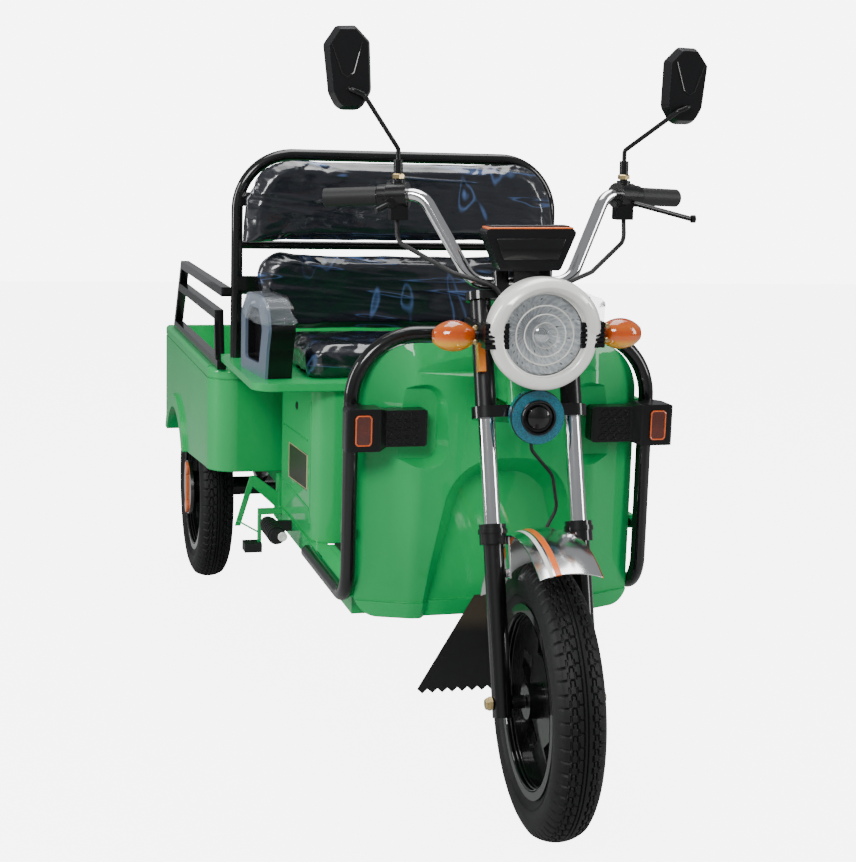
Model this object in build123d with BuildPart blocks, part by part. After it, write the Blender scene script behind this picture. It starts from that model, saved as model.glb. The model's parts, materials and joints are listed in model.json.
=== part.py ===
"""Electric tricycle with a cargo box, in millimetres.

The tricycle looks along -Y, +X is its left side and +Z is up. The origin lies on the ground,
under the middle of the whole vehicle. Lengths along the vehicle are given behind the front axle,
and heights above the axles.
The fork and all that turns with it is drawn straight ahead, then turned by the parked steering angle.
"""

import math
import os

from build123d import *

os.makedirs("parts", exist_ok=True)

# Wheels and steering geometry
tyre_radius = 231
tyre_width = 84
wheelbase = 1754
half_track = 324
rake_angle = 17
axis_behind_axle = 44
parked_steering_angle = 3.4
running_clearance = 0.05
sleeve_clearance = 0.1
cut_overrun = 5

# Tyres and rims
bead_radius = 152
bead_width = 64
tyre_bulge_radius = 194
tyre_shoulder_radius = 222
tyre_shoulder_width = 62
flange_height = 10
flange_thickness = 3
rim_wall = 4
spoke_disc_thickness = 14
front_spoke_count = 5
window_radius = 98
window_length = 62
window_width = 50
window_angle = 78

# Front hub and axle
front_hub_radius = 30
front_hub_width = 70
brake_drum_radius = 62
brake_drum_width = 26
axle_radius = 6
front_axle_half_length = 103
axle_nut_radius = 11
axle_nut_height = 8
axle_spacer_radius = 11

# Rear axle
rear_stub_radius = 15
rear_stub_half_length = 356
rear_tube_radius = 24
rear_tube_half_length = 262
rear_hub_radius = 42
rear_hub_inner = 290
rear_hub_outer = 364
hub_cover_radius = 70
hub_cover_thickness = 8
hub_cover_draft = 9
hub_bar_length = 132
hub_bar_width = 26
hub_bar_end_radius = 17
hub_bar_height = 5
motor_radius = 82
motor_width = 150

# Fork, measured along the leg from axle height
leg_half_spacing = 75
slider_radius = 17
slider_low_end = 24
slider_top = 262
dust_cap_radius = 23
dust_cap_top = 296
dust_ring_height = 8
dust_ring_proud = 2
stanchion_radius = 14.5
clamp_bottom = 474
clamp_top = 494
clamp_lug_radius = 25
stem_lug_radius = 30
cover_radius = 18
cover_top = 676
yoke_top = 690
stem_radius = 14
head_tube_radius = 26
head_end_clearance = 2

# Handlebar and what it carries
bar_radius = 11
bar_centre_y = 211
bar_centre_z = 675
bar_low_bend_x = 86
bar_top_bend_x = 163
bar_top_bend_y = 264
bar_top_bend_z = 823
bar_end_x = 317
bar_end_y = 339
bar_end_z = 814
bar_low_bend_radius = 42
bar_top_bend_radius = 38
bar_clamp_x = 38
bar_clamp_width = 26
bar_clamp_depth = 34
bar_clamp_cap = 7
bar_clamp_corner = 4
grip_radius = 16
grip_length = 92
grip_ends = 3
collar_radius = 19
collar_length = 16
pod_radius = 22
pod_length = 36
pod_gap = 2
switch_width = 30
switch_depth = 30
switch_drop = 42
lever_radius = 4.5
lever_reach_x = 86
lever_reach_y = 55
lever_drop = 24
lever_ball_radius = 7
stub_reach_x = 26

# Mirrors
mirror_y = 239
mirror_width = 82
mirror_right_x = 294
mirror_right_z = 1032
mirror_right_height = 139
mirror_left_x = 299
mirror_left_z = 1011
mirror_left_height = 132
# Side, distance from the middle, height of the centre, height of the mirror
mirror_places = [
    (-1, mirror_right_x, mirror_right_z, mirror_right_height),
    (1, mirror_left_x, mirror_left_z, mirror_left_height),
]
mirror_depth = 24
mirror_draft = 16
mirror_glass_thickness = 2
mirror_rim = 5
stem_rod_radius = 4
mirror_boot_radius = 8
mirror_boot_height = 28
mirror_nut_radius = 7
mirror_nut_height = 6
mirror_foot_height = 8
mirror_neck_drop = 35
mirror_neck_proud = 13
mirror_knee_x = 22
mirror_knee_drop = 44
mirror_corner = 10
mirror_low_corner = 22
stem_straight = 18
stem_bend_radius = 8

# Headlamp, turn signals, horn and instrument pod
lamp_centre_y = 66
lamp_centre_z = 604
lamp_shell_radius = 91
lamp_shell_depth = 84
lamp_shell_wall = 3
lamp_lens_radius = 67
lamp_lens_crown = 14
lamp_lens_thickness = 4
lamp_bezel_depth = 14
lamp_back_radius = 44
peak_reach = 22
peak_thickness = 4
lamp_block_width = 36
lamp_block_height = 42
lamp_block_depth = 30
lamp_block_proud = 8
lamp_rib_count = 5
lamp_rib_gap = 3
lamp_rib_depth = 4
lamp_arm_thickness = 8
lamp_arm_height = 30
signal_x = 143
signal_y = 100
signal_drop = 4
signal_half_width = 34
signal_half_height = 26
signal_end_radius = 11
signal_stalk_radius = 7
signal_stalk_reach = 8
horn_radius = 45
horn_y = 84
horn_z = 463
horn_depth = 26
horn_cone_radius = 26
horn_cone_depth = 12
horn_cone_angle = 26
horn_foot_width = 30
horn_foot_height = 16
pod_top_half_width = 82
pod_bottom_half_width = 52
pod_bottom_z = 701
pod_top_z = 771
pod_front_y = 152
pod_back_y = 200
pod_corner = 8
pod_foot_width = 44
pod_foot_depth = 22
pod_foot_saddle = 3
reflector_width = 12
reflector_thickness = 4
reflector_bottom = 551
reflector_length = 49

# Front fender, its stays and the mud flap
fender_gap = 45
fender_crown = 12
fender_width = 104
fender_thickness = 2
fender_front_angle = 28
fender_rear_angle = 66
fender_stay_width = 20
fender_boss_radius = 8
fender_stay_thickness = 3
fender_stay_foot = 204
flap_top_half_width = 62
flap_bottom_half_width = 158
flap_bottom_z = -81
flap_rear_lean = 34
flap_thickness = 3
flap_tooth_count = 17
flap_tooth_depth = 9

# Cables that the steering carries
cable_radius = 4
cable_bend = 24
horn_cable_radius = 3
horn_cable_bend = 30

# Front shield
shield_bottom_z = 69
shield_wall = 5
shield_side_y = 316
shield_bottom_corner_radius = 40
shield_notch_half_width = 44
shield_notch_bottom = 433
shield_edge_clearance = 1
shield_bulge = 62
shield_ledge_z = 490
shield_ledge_depth = 16
shield_ledge_slope = 24
lip_depth = 5
lip_height = 28
hollow_low_half_width = 138
hollow_top_half_width = 72
hollow_top_z = 330
hollow_corner = 68
hollow_back_y = 292
hollow_draft = 35
shield_knee_x = 165
shield_centre_x = 80
shield_bend_radius = 45
recess_bottom = 361
recess_top = 485
recess_inner_x = 128
recess_depth = 20
recess_corner = 24
recess_draft = 35

# Guard hoop and foot rails
hoop_tube_radius = 13.5
hoop_half_width = 289
hoop_y = 300
hoop_top_z = 591
hoop_top_bend = 118
hoop_low_bend = 60
rail_z = 100
rail_rear_y = 660
rail_end_bend = 40

# Corner lamps
corner_lamp_bottom = 383
corner_lamp_top = 457
corner_lamp_inner_x = 151
corner_lamp_outer_x = 300
corner_lamp_front_y = 226
corner_lamp_block_x = 241
corner_lamp_step = 16
corner_lamp_pad_inset = 5
corner_lamp_round = 7
corner_lamp_wrap = 36
corner_lamp_wrap_radius = 20
corner_lens_x = 270
corner_lens_width = 28
corner_lens_height = 52
corner_lens_thickness = 4

# Chassis
head_neck_half_width = 24
head_neck_height = 90
head_neck_gap = 5
post_front_y = 334
post_depth = 40
post_half_width = 25
brace_low_z = 221
brace_high_z = 441
brace_height = 24
side_rail_x = 238
side_rail_width = 34
side_rail_bottom = 59
side_rail_height = 38
side_rail_front_y = 372
side_rail_rear_y = 1150
rear_rail_x = 212
rear_rail_width = 40
rear_rail_bottom = 113
rear_rail_height = 49
rear_rail_front_y = 1090
cross_depth = 40
spring_half_length = 178
spring_width = 44
spring_thickness = 14
spring_rise = 62
spring_eye_radius = 14

# Footboard and seat base
footboard_rear_y = 718
footboard_thickness = 8
mat_thickness = 3
mat_margin = 12
seat_box_half_width = 250
seat_box_front_y = 722
seat_box_rear_y = 1088
seat_box_wall = 5
seat_box_corner = 48
deck_half_width = 378
deck_front_y = 702
deck_rear_y = 1146
deck_top_z = 429
deck_thickness = 16
deck_corner = 46
battery_length = 250
battery_width = 340
battery_height = 190

# Seat, backrests and armrests
cushion_half_width = 266
cushion_front_y = 752
cushion_rear_y = 1036
cushion_height = 58
cushion_corner = 40
soft_clearance = 0.4
back_half_width = 314
back_lower_bottom = 493
back_lower_top = 657
back_thickness = 44
back_lower_corner = 56
back_upper_bottom = 691
back_upper_top = 851
back_upper_corner = 110
back_upper_half_width = 338
backrest_y = 1091
backrest_half_width = 366
backrest_top_z = 879
backrest_tube_radius = 12.5
backrest_bend = 120
crossbar_z = 673
crossbar_radius = 9
back_tab_length = 46
back_tab_height = 30
back_tab_thickness = 4
back_tab_rise = 17
armrest_front_x = 338
armrest_rear_x = 360
armrest_width = 50
armrest_plate = 6
armrest_corner = 18
armrest_window_corner = 9
armrest_pocket = 16
armrest_front_y = 742
armrest_rear_y = 945
armrest_top_z = 591

# Cargo box
box_half_width = 400
box_front_y = 1148
box_top_z = 394
box_bottom_z = 162
box_arch_foot_z = 128
box_wall = 26
box_corner = 60
box_side_front_y = 1216
arch_half_width = 146
arch_top_z = 209
arch_flare_width = 34
arch_flare_height = 8
floor_thickness = 4
wheel_housing_gap = 41
wheel_housing_side_gap = 20
wheel_housing_end_gap = 31
wheel_housing_wall = 3
top_edge_round = 10
bead_drop = 26
bead_groove_height = 3
bead_groove_depth = 2
tailgate_gap = 6
tailgate_thickness = 22
hinge_knuckle_radius = 6
hinge_pin_radius = 3
hinge_knuckle_length = 24
hinge_strap_thickness = 6
hinge_rise = 2
hinge_side_gap = 0.5
tail_lamp_width = 130
tail_lamp_height = 52
tail_lamp_depth = 30
tail_lamp_x = 205
tail_lamp_gap = 10

# Side racks
rack_tube = 20
rack_top_z = 581
rack_mid_z = 521
rack_rear_inset = 45
rack_post_gap = 24
rack_rear_lean = 150
rack_bend = 30

# Foot peg, brake pedal and strut
peg_radius = 16
peg_length = 112
peg_rib_count = 7
peg_rib_radius = 19
peg_rib_width = 7
peg_x = 296
peg_front_y = 822
peg_z = 91
peg_bracket_thickness = 10
strut_y = 1100
strut_top_x = 312
strut_foot_x = 345
strut_foot_z = 50
strut_width = 12
strut_thickness = 5
pedal_y = 1052
pedal_x = 300
pedal_top_z = 99
pedal_arm_length = 96
pedal_arm_width = 14
pedal_pad_length = 38
pedal_pad_width = 40
pedal_rod_radius = 2
pedal_pad_height = 20

vehicle_front = -tyre_radius
vehicle_rear = wheelbase + tyre_radius
front_axle_y = -(vehicle_front + vehicle_rear) / 2
rake = math.radians(rake_angle)
lean_sin, lean_cos = math.sin(rake), math.cos(rake)
sides = (("right", -1), ("left", 1))
box_rear_y = vehicle_rear
rear_rail_rear_y = box_rear_y - tail_lamp_depth
floor_z = box_bottom_z + floor_thickness


def back(distance):
    """The Y of a place that lies this far behind the front axle."""
    return front_axle_y + distance


def up(height):
    """The Z of a place this far above the axles."""
    return tyre_radius + height


def place(x, distance, height):
    """A point at this X, this far behind the front axle and above the axles."""
    return Vector(x, back(distance), up(height))


def on_leg(x, along, ahead=0):
    """A point of the fork: along the leg from axle height, and ahead of the plane of the legs."""
    y = along * lean_sin - ahead * lean_cos
    return Vector(x, back(y), tyre_radius + along * lean_cos + ahead * lean_sin)


def leg_plane(x, along, ahead=0):
    """A plane square to the fork legs, with its X across the vehicle and its Y pointing rearwards."""
    return Plane(origin=on_leg(x, along, ahead), x_dir=(1, 0, 0), z_dir=(0, lean_sin, lean_cos))


steering_ahead = -axis_behind_axle * lean_cos
steering_axis = Axis(on_leg(0, 0, 0) + Vector(0, axis_behind_axle, 0), (0, lean_sin, lean_cos))


def keep(piece, name):
    """Labels a finished piece and writes it."""
    piece.label = name
    export_step(piece, f"parts/{name}.step")


def keep_turned(piece, name):
    """Turns a piece of the fork by the parked steering angle, and keeps it."""
    keep(piece.rotate(steering_axis, -parked_steering_angle), name)


def across(x):
    """A plane whose normal is +X, with its X along +Y and its Y counted up from the axles."""
    return Plane(origin=(x, 0, tyre_radius), x_dir=(0, 1, 0), z_dir=(1, 0, 0))


def facing(y):
    """A plane this far behind the axle whose normal is -Y, with its Y counted up from the axles."""
    return Plane(origin=(0, back(y), tyre_radius), x_dir=(1, 0, 0), z_dir=(0, -1, 0))


def level(z):
    """A horizontal plane this far above the axles."""
    return Plane.XY.offset(up(z))


def bent_tube(points, bend, radius):
    """A round tube along straight runs joined by arcs."""
    with BuildPart() as tube:
        with BuildLine() as route:
            FilletPolyline(*points, radius=bend)
        with BuildSketch(Plane(origin=route.line @ 0, z_dir=route.line % 0)):
            Circle(radius)
        sweep(path=route.line)
    return tube.part


def rod(start, end, radius):
    """A straight round bar between two points."""
    start, end = Vector(start), Vector(end)
    with BuildPart() as bar:
        with BuildSketch(Plane(origin=start, z_dir=end - start)):
            Circle(radius)
        extrude(amount=(end - start).length)
    return bar.part


def block(x_span, y_span, z_span):
    """A plain rectangular bar between two places on each axis."""
    with BuildPart() as bar:
        with BuildSketch(level(z_span[0])):
            with Locations(((x_span[0] + x_span[1]) / 2, back((y_span[0] + y_span[1]) / 2))):
                Rectangle(x_span[1] - x_span[0], y_span[1] - y_span[0])
        extrude(amount=z_span[1] - z_span[0])
    return bar.part


def outward(side, inner, outer):
    """The span between two distances from the middle plane, on one side of the vehicle."""
    return tuple(sorted((side * inner, side * outer)))


def cross_bar(half_length, y, z, radius):
    """A round bar right across the vehicle."""
    return rod(place(-half_length, y, z), place(half_length, y, z), radius)


def mirrored(piece):
    """The same piece on the other side of the vehicle."""
    return mirror(piece, about=Plane.YZ)


# Wheels
bead_half = bead_width / 2
flange_top = bead_radius + flange_height
front_centre = Vector(0, back(0), tyre_radius)
rear_centres = {name: Vector(side * half_track, back(wheelbase), tyre_radius) for name, side in sides}


def wheel_plane(centre):
    """A plane through the wheel's centre with X along the axle and Y up."""
    return Plane(origin=centre, x_dir=(1, 0, 0), z_dir=(0, -1, 0))


def make_tyre(centre):
    """A tyre with its bead on the rim's seat and a round crown."""
    with BuildPart() as tyre:
        with BuildSketch(wheel_plane(centre)):
            with BuildLine() as section:
                Line((0, bead_radius), (bead_half, bead_radius))
                Line((bead_half, bead_radius), (bead_half, flange_top + flange_thickness))
                ThreePointArc(
                    (bead_half, flange_top + flange_thickness),
                    (tyre_width / 2, tyre_bulge_radius),
                    (tyre_shoulder_width / 2, tyre_shoulder_radius),
                )
                RadiusArc(
                    (tyre_shoulder_width / 2, tyre_shoulder_radius),
                    (0, tyre_radius),
                    -tyre_shoulder_radius / 4,
                )
                mirror(section.line, about=Plane.YZ)
            make_face()
        revolve(axis=Axis(centre, (1, 0, 0)))
    return tyre.part


def rim_profile():
    """The rim's band with a flange at each side, above the wheel's centre."""
    inner = bead_radius - rim_wall
    outside = bead_half + flange_thickness
    Polyline(
        (-outside, inner),
        (outside, inner),
        (outside, flange_top),
        (bead_half, flange_top),
        (bead_half, bead_radius),
        (-bead_half, bead_radius),
        (-bead_half, flange_top),
        (-outside, flange_top),
        close=True,
    )


def hub_core(centre, low_x, high_x, radius, bore):
    """A hub barrel between two places on the axle line, with its bore."""
    with BuildPart() as hub:
        with BuildSketch(Plane(origin=(low_x, centre.Y, centre.Z), z_dir=(1, 0, 0))):
            Circle(radius)
            Circle(bore, mode=Mode.SUBTRACT)
        extrude(amount=high_x - low_x)
    return hub.part


with BuildPart() as front_rim:
    with BuildSketch(wheel_plane(front_centre)):
        with BuildLine():
            rim_profile()
        make_face()
    revolve(axis=Axis(front_centre, (1, 0, 0)))
    with BuildSketch(Plane(origin=front_centre, z_dir=(1, 0, 0))):
        Circle(bead_radius - rim_wall / 2)
        Circle(axle_radius + running_clearance, mode=Mode.SUBTRACT)
        with PolarLocations(window_radius, front_spoke_count):
            Trapezoid(window_length, window_width, window_angle, rotation=-90, mode=Mode.SUBTRACT)
    extrude(amount=spoke_disc_thickness / 2, both=True)
    add(hub_core(front_centre, -front_hub_width / 2, front_hub_width / 2, front_hub_radius,
                 axle_radius + running_clearance))
    add(hub_core(front_centre, 0, brake_drum_width, brake_drum_radius, axle_radius + running_clearance))

front_tyre_part = make_tyre(front_centre)
keep_turned(front_tyre_part, "front_tyre")
keep_turned(front_rim.part, "front_rim")

for name, side in sides:
    centre = rear_centres[name]
    keep(make_tyre(centre), f"rear_tyre_{name}")
    cover_x = side * rear_hub_outer
    with BuildPart() as rear_rim:
        with BuildSketch(wheel_plane(centre)):
            with BuildLine():
                rim_profile()
            make_face()
        revolve(axis=Axis(centre, (1, 0, 0)))
        with BuildSketch(Plane(origin=centre, z_dir=(1, 0, 0))):
            Circle(bead_radius - rim_wall / 2)
            Circle(rear_stub_radius + running_clearance, mode=Mode.SUBTRACT)
            with PolarLocations(window_radius, front_spoke_count):
                Trapezoid(window_length, window_width, window_angle, rotation=-90, mode=Mode.SUBTRACT)
        extrude(amount=spoke_disc_thickness / 2, both=True)
        low_x, high_x = sorted((side * rear_hub_inner, side * rear_hub_outer))
        add(hub_core(centre, low_x, high_x, rear_hub_radius, rear_stub_radius + running_clearance))
        with BuildSketch(Plane(origin=(cover_x, centre.Y, centre.Z), z_dir=(side, 0, 0))):
            Circle(hub_cover_radius)
        extrude(amount=hub_cover_thickness, taper=hub_cover_draft)
        with BuildSketch(Plane(origin=(cover_x + side * hub_cover_thickness, centre.Y, centre.Z),
                               x_dir=(0, 0, 1), z_dir=(side, 0, 0))):
            Rectangle(hub_bar_length, hub_bar_width / 2)
            with Locations((hub_bar_length / 2 - hub_bar_end_radius, 0),
                           (hub_bar_end_radius - hub_bar_length / 2, 0)):
                Circle(hub_bar_end_radius)
        extrude(amount=hub_bar_height)
    keep(rear_rim.part, f"rear_rim_{name}")

# Front axle
slider_side = leg_half_spacing + slider_radius
with BuildPart() as front_axle:
    add(cross_bar(front_axle_half_length, 0, 0, axle_radius))
    for side in (-1, 1):
        nut_x = side * (slider_side + sleeve_clearance)
        with BuildSketch(Plane(origin=(nut_x, back(0), tyre_radius), z_dir=(side, 0, 0))):
            RegularPolygon(axle_nut_radius, 6)
        extrude(amount=axle_nut_height)
        spacer_x = side * (front_hub_width / 2 + head_end_clearance)
        with BuildSketch(Plane(origin=(spacer_x, back(0), tyre_radius), z_dir=(side, 0, 0))):
            Circle(axle_spacer_radius)
        extrude(amount=leg_half_spacing - slider_radius - sleeve_clearance - abs(spacer_x))
keep_turned(front_axle.part, "front_axle")

# Fork
with BuildPart() as fork_sliders:
    for side in (-1, 1):
        with BuildSketch(leg_plane(side * leg_half_spacing, -slider_low_end)):
            Circle(slider_radius)
        extrude(amount=slider_low_end + slider_top)
        with BuildSketch(leg_plane(side * leg_half_spacing, slider_top)):
            Circle(dust_cap_radius)
        extrude(amount=dust_cap_top - slider_top)
        with BuildSketch(leg_plane(side * leg_half_spacing, dust_cap_top - 2 * dust_ring_height)):
            Circle(dust_cap_radius + dust_ring_proud)
        extrude(amount=dust_ring_height)
    with BuildSketch(Plane(origin=(-slider_side - cut_overrun, back(0), tyre_radius), z_dir=(1, 0, 0))):
        Circle(axle_radius + running_clearance)
    extrude(amount=2 * (slider_side + cut_overrun), mode=Mode.SUBTRACT)
keep_turned(fork_sliders.part, "fork_sliders")

with BuildPart() as stanchions:
    for side in (-1, 1):
        with BuildSketch(leg_plane(side * leg_half_spacing, dust_cap_top)):
            Circle(stanchion_radius)
        extrude(amount=clamp_bottom - dust_cap_top)
keep_turned(stanchions.part, "stanchions")

stem_back = -steering_ahead
bar_offset = Vector(0, bar_centre_y, bar_centre_z)
bar_along = bar_offset.Y * lean_sin + bar_offset.Z * lean_cos
bar_ahead = bar_offset.Z * lean_sin - bar_offset.Y * lean_cos
with BuildPart() as fork_yokes:
    for low, high in ((clamp_bottom, clamp_top), (cover_top, yoke_top)):
        with BuildSketch(leg_plane(0, low)):
            with Locations((-leg_half_spacing, 0), (leg_half_spacing, 0)):
                Circle(clamp_lug_radius)
            with Locations((0, stem_back)):
                Circle(stem_lug_radius)
            make_hull()
        extrude(amount=high - low)
    with BuildSketch(leg_plane(0, clamp_top)):
        with Locations((0, stem_back)):
            Circle(stem_radius)
    extrude(amount=cover_top - clamp_top)
    with BuildSketch(leg_plane(0, yoke_top, bar_ahead)):
        with Locations((-bar_clamp_x, 0), (bar_clamp_x, 0)):
            RectangleRounded(bar_clamp_width, bar_clamp_depth, bar_clamp_corner)
    extrude(amount=bar_along - yoke_top + bar_radius + bar_clamp_cap)
    add(cross_bar(bar_low_bend_x, bar_centre_y, bar_centre_z, bar_radius + sleeve_clearance),
        mode=Mode.SUBTRACT)
keep_turned(fork_yokes.part, "fork_yokes")

with BuildPart() as fork_covers:
    for side in (-1, 1):
        with BuildSketch(leg_plane(side * leg_half_spacing, clamp_top)):
            Circle(cover_radius)
        extrude(amount=cover_top - clamp_top)
keep_turned(fork_covers.part, "fork_covers")

with BuildPart() as fork_reflectors:
    for side in (-1, 1):
        with BuildSketch(leg_plane(side * (leg_half_spacing + cover_radius / 2), reflector_bottom)):
            with Locations((0, -cover_radius - reflector_thickness / 4)):
                Rectangle(reflector_width, cover_radius + reflector_thickness / 2)
        extrude(amount=reflector_length)
    for side in (-1, 1):
        with BuildSketch(leg_plane(side * leg_half_spacing, reflector_bottom - cut_overrun)):
            Circle(cover_radius + sleeve_clearance)
        extrude(amount=reflector_length + 2 * cut_overrun, mode=Mode.SUBTRACT)
keep_turned(fork_reflectors.part, "fork_reflectors")

# Handlebar
bar_points = [
    place(-bar_end_x, bar_end_y, bar_end_z),
    place(-bar_top_bend_x, bar_top_bend_y, bar_top_bend_z),
    place(-bar_low_bend_x, bar_centre_y, bar_centre_z),
    place(bar_low_bend_x, bar_centre_y, bar_centre_z),
    place(bar_top_bend_x, bar_top_bend_y, bar_top_bend_z),
    place(bar_end_x, bar_end_y, bar_end_z),
]
bar_bends = [bar_top_bend_radius, bar_low_bend_radius, bar_low_bend_radius, bar_top_bend_radius]
bar_tube = bent_tube(bar_points, bar_bends, bar_radius)
with BuildPart() as handlebar:
    add(bar_tube)
keep_turned(handlebar.part, "handlebar")

grip_line = bar_points[0] - bar_points[1]
grip_run = grip_line.normalized()


def on_grip(side, distance):
    """A point of the bar's outer run, this far in from its end."""
    point = bar_points[0] - grip_run * distance
    return Vector(-side * point.X, point.Y, point.Z)


def grip_plane(side, distance):
    """A plane square to the outer run, looking inwards along it."""
    return Plane(origin=on_grip(side, distance), z_dir=(side * grip_run.X, -grip_run.Y, -grip_run.Z))


def sleeve(side, start, length, outer):
    """A sleeve around the bar's outer run."""
    with BuildPart() as ring:
        with BuildSketch(grip_plane(side, start)):
            Circle(outer)
            Circle(bar_radius + sleeve_clearance, mode=Mode.SUBTRACT)
        extrude(amount=length)
    return ring.part


with BuildPart() as grips:
    for side in (-1, 1):
        add(sleeve(side, 0, grip_length, grip_radius))
        with BuildSketch(grip_plane(side, -grip_ends)):
            Circle(grip_radius)
        extrude(amount=grip_ends - sleeve_clearance)
keep_turned(grips.part, "grips")

collar_start = grip_length + pod_gap
pod_start = collar_start + collar_length
with BuildPart() as hand_controls:
    for side in (-1, 1):
        add(sleeve(side, collar_start, collar_length, collar_radius))
        add(sleeve(side, pod_start, pod_length, pod_radius))
        pod_middle = on_grip(side, pod_start + pod_length / 2)
        with BuildSketch(Plane.XY.offset(pod_middle.Z - switch_drop)):
            with Locations((pod_middle.X, pod_middle.Y)):
                Rectangle(switch_width, switch_depth)
        extrude(amount=switch_drop - pod_radius / 2)
        with BuildSketch(Plane.XY.offset(pod_middle.Z + pod_radius - mirror_foot_height / 2)):
            with Locations((pod_middle.X, pod_middle.Y)):
                Circle(mirror_boot_radius + mirror_foot_height / 2)
        extrude(amount=mirror_foot_height)
        lever_root = on_grip(side, pod_start) + Vector(0, -pod_radius, -lever_drop / 2)
        if side > 0:
            lever_tip = lever_root + Vector(lever_reach_x, -lever_reach_y, -lever_drop)
            add(rod(lever_root, lever_tip, lever_radius))
            with BuildSketch(Plane(origin=lever_tip, z_dir=(1, 0, 0))):
                Circle(lever_ball_radius)
            extrude(amount=lever_ball_radius)
        else:
            lever_tip = lever_root + Vector(-stub_reach_x, -collar_radius / 2, -lever_drop / 2)
            add(rod(lever_root, lever_tip, lever_radius))
        add(rod(lever_root + Vector(0, collar_radius / 2, 0), lever_root + Vector(0, -lever_radius, 0),
                lever_radius * 2))
        add(rod(grip_plane(side, collar_start - cut_overrun).origin,
                grip_plane(side, pod_start + pod_length + cut_overrun).origin,
                bar_radius + sleeve_clearance), mode=Mode.SUBTRACT)
keep_turned(hand_controls.part, "hand_controls")

# Mirrors, each with its own place because they are set by hand
mirror_half = mirror_width / 2
# Outline as shares of the half width and half height, outer side first
mirror_outline_shares = [
    (0.49, 0.98),
    (-0.32, 1.0),
    (-0.93, 0.63),
    (-1.0, -0.55),
    (-0.55, -1.0),
    (0.45, -1.0),
    (0.80, -0.60),
    (1.0, 0.54),
]


def mirror_points(height, inset):
    """The corners of the left mirror's outline, from its centre, this far inside the rim."""
    half, high = mirror_half - inset, height / 2 - inset
    return [(wide_share * half, tall_share * high) for wide_share, tall_share in mirror_outline_shares]


def mirror_outline(height, inset):
    """The left mirror's outline as a face in the sketch's plane."""
    bends = [mirror_corner] * 3 + [mirror_low_corner] * 4 + [mirror_corner]
    with BuildSketch() as outline:
        with BuildLine():
            FilletPolyline(*mirror_points(height, inset), radius=bends, close=True)
        make_face()
    return outline.sketch


mirror_seat_z = on_grip(1, pod_start + pod_length / 2).Z + pod_radius + mirror_foot_height / 2


def on_side(piece, side):
    """A piece built for the left side, put on the side that is asked for."""
    return piece if side > 0 else mirrored(piece)


def make_mirror(mirror_x, mirror_z, height):
    """A left mirror: a nut, a boot, a bent stem and the housing that the stem enters from the front."""
    middle = on_grip(1, pod_start + pod_length / 2)
    foot = Vector(middle.X, middle.Y, mirror_seat_z)
    nut_top = foot + Vector(0, 0, mirror_nut_height)
    boot_top = nut_top + Vector(0, 0, mirror_boot_height)
    centre = place(mirror_x, mirror_y, mirror_z)
    neck = centre + Vector(0, -mirror_neck_proud, -mirror_neck_drop)
    with BuildPart() as mirror_body:
        with BuildSketch(Plane(origin=centre + Vector(0, mirror_depth, 0), x_dir=(1, 0, 0),
                               z_dir=(0, -1, 0))):
            add(mirror_outline(height, 0))
        extrude(amount=mirror_depth, taper=mirror_draft)
        add(bent_tube(
            [
                boot_top - Vector(0, 0, mirror_boot_height / 2),
                boot_top + Vector(0, 0, stem_straight),
                centre + Vector(-mirror_knee_x, -mirror_neck_proud, -mirror_knee_drop),
                neck,
                neck + Vector(0, mirror_neck_proud + mirror_depth / 2, 0),
            ],
            stem_bend_radius,
            stem_rod_radius,
        ))
        add(rod(nut_top, boot_top, mirror_boot_radius))
        add(rod(foot, nut_top, mirror_nut_radius))
    return mirror_body.part


def make_glass(mirror_x, mirror_z, height):
    """The glass on the rear face of a left mirror, inside its rim."""
    glass_face = place(mirror_x, mirror_y, mirror_z) + Vector(0, mirror_depth + mirror_glass_thickness, 0)
    with BuildPart() as glass:
        with BuildSketch(Plane(origin=glass_face, x_dir=(1, 0, 0), z_dir=(0, -1, 0))):
            add(mirror_outline(height, mirror_rim))
        extrude(amount=mirror_glass_thickness)
    return glass.part


with BuildPart() as mirrors:
    for side, mirror_x, mirror_z, height in mirror_places:
        add(on_side(make_mirror(mirror_x, mirror_z, height), side))
keep_turned(mirrors.part, "mirrors")

with BuildPart() as mirror_glass:
    for side, mirror_x, mirror_z, height in mirror_places:
        add(on_side(make_glass(mirror_x, mirror_z, height), side))
keep_turned(mirror_glass.part, "mirror_glass")

# Headlamp
lamp_centre = place(0, lamp_centre_y, lamp_centre_z)
lamp_axis = Axis(lamp_centre, (0, 1, 0))
with BuildPart() as headlamp_shell:
    with BuildSketch(Plane(origin=lamp_centre, x_dir=(1, 0, 0), z_dir=(0, 0, 1))):
        with BuildLine():
            Polyline(
                (lamp_lens_radius + sleeve_clearance, -lamp_bezel_depth / 2),
                (lamp_shell_radius - lamp_bezel_depth / 2, -lamp_bezel_depth / 2),
                (lamp_shell_radius, lamp_bezel_depth / 2),
                (lamp_back_radius + lamp_shell_wall, lamp_shell_depth),
                (0, lamp_shell_depth),
                (0, lamp_shell_depth - lamp_shell_wall),
                (lamp_back_radius, lamp_shell_depth - lamp_shell_wall),
                (lamp_lens_radius + sleeve_clearance, lamp_bezel_depth / 2),
                close=True,
            )
        make_face()
    revolve(axis=lamp_axis)
    with BuildSketch(Plane(origin=lamp_centre + Vector(0, -peak_reach, 0), z_dir=(0, 1, 0),
                           x_dir=(1, 0, 0))):
        Circle(lamp_shell_radius)
        Circle(lamp_shell_radius - peak_thickness, mode=Mode.SUBTRACT)
        with Locations((0, lamp_shell_radius / 2)):
            Rectangle(2 * lamp_shell_radius, lamp_shell_radius * 2, mode=Mode.SUBTRACT)
    extrude(amount=peak_reach + lamp_bezel_depth / 2)
keep_turned(headlamp_shell.part, "headlamp_shell")

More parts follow.
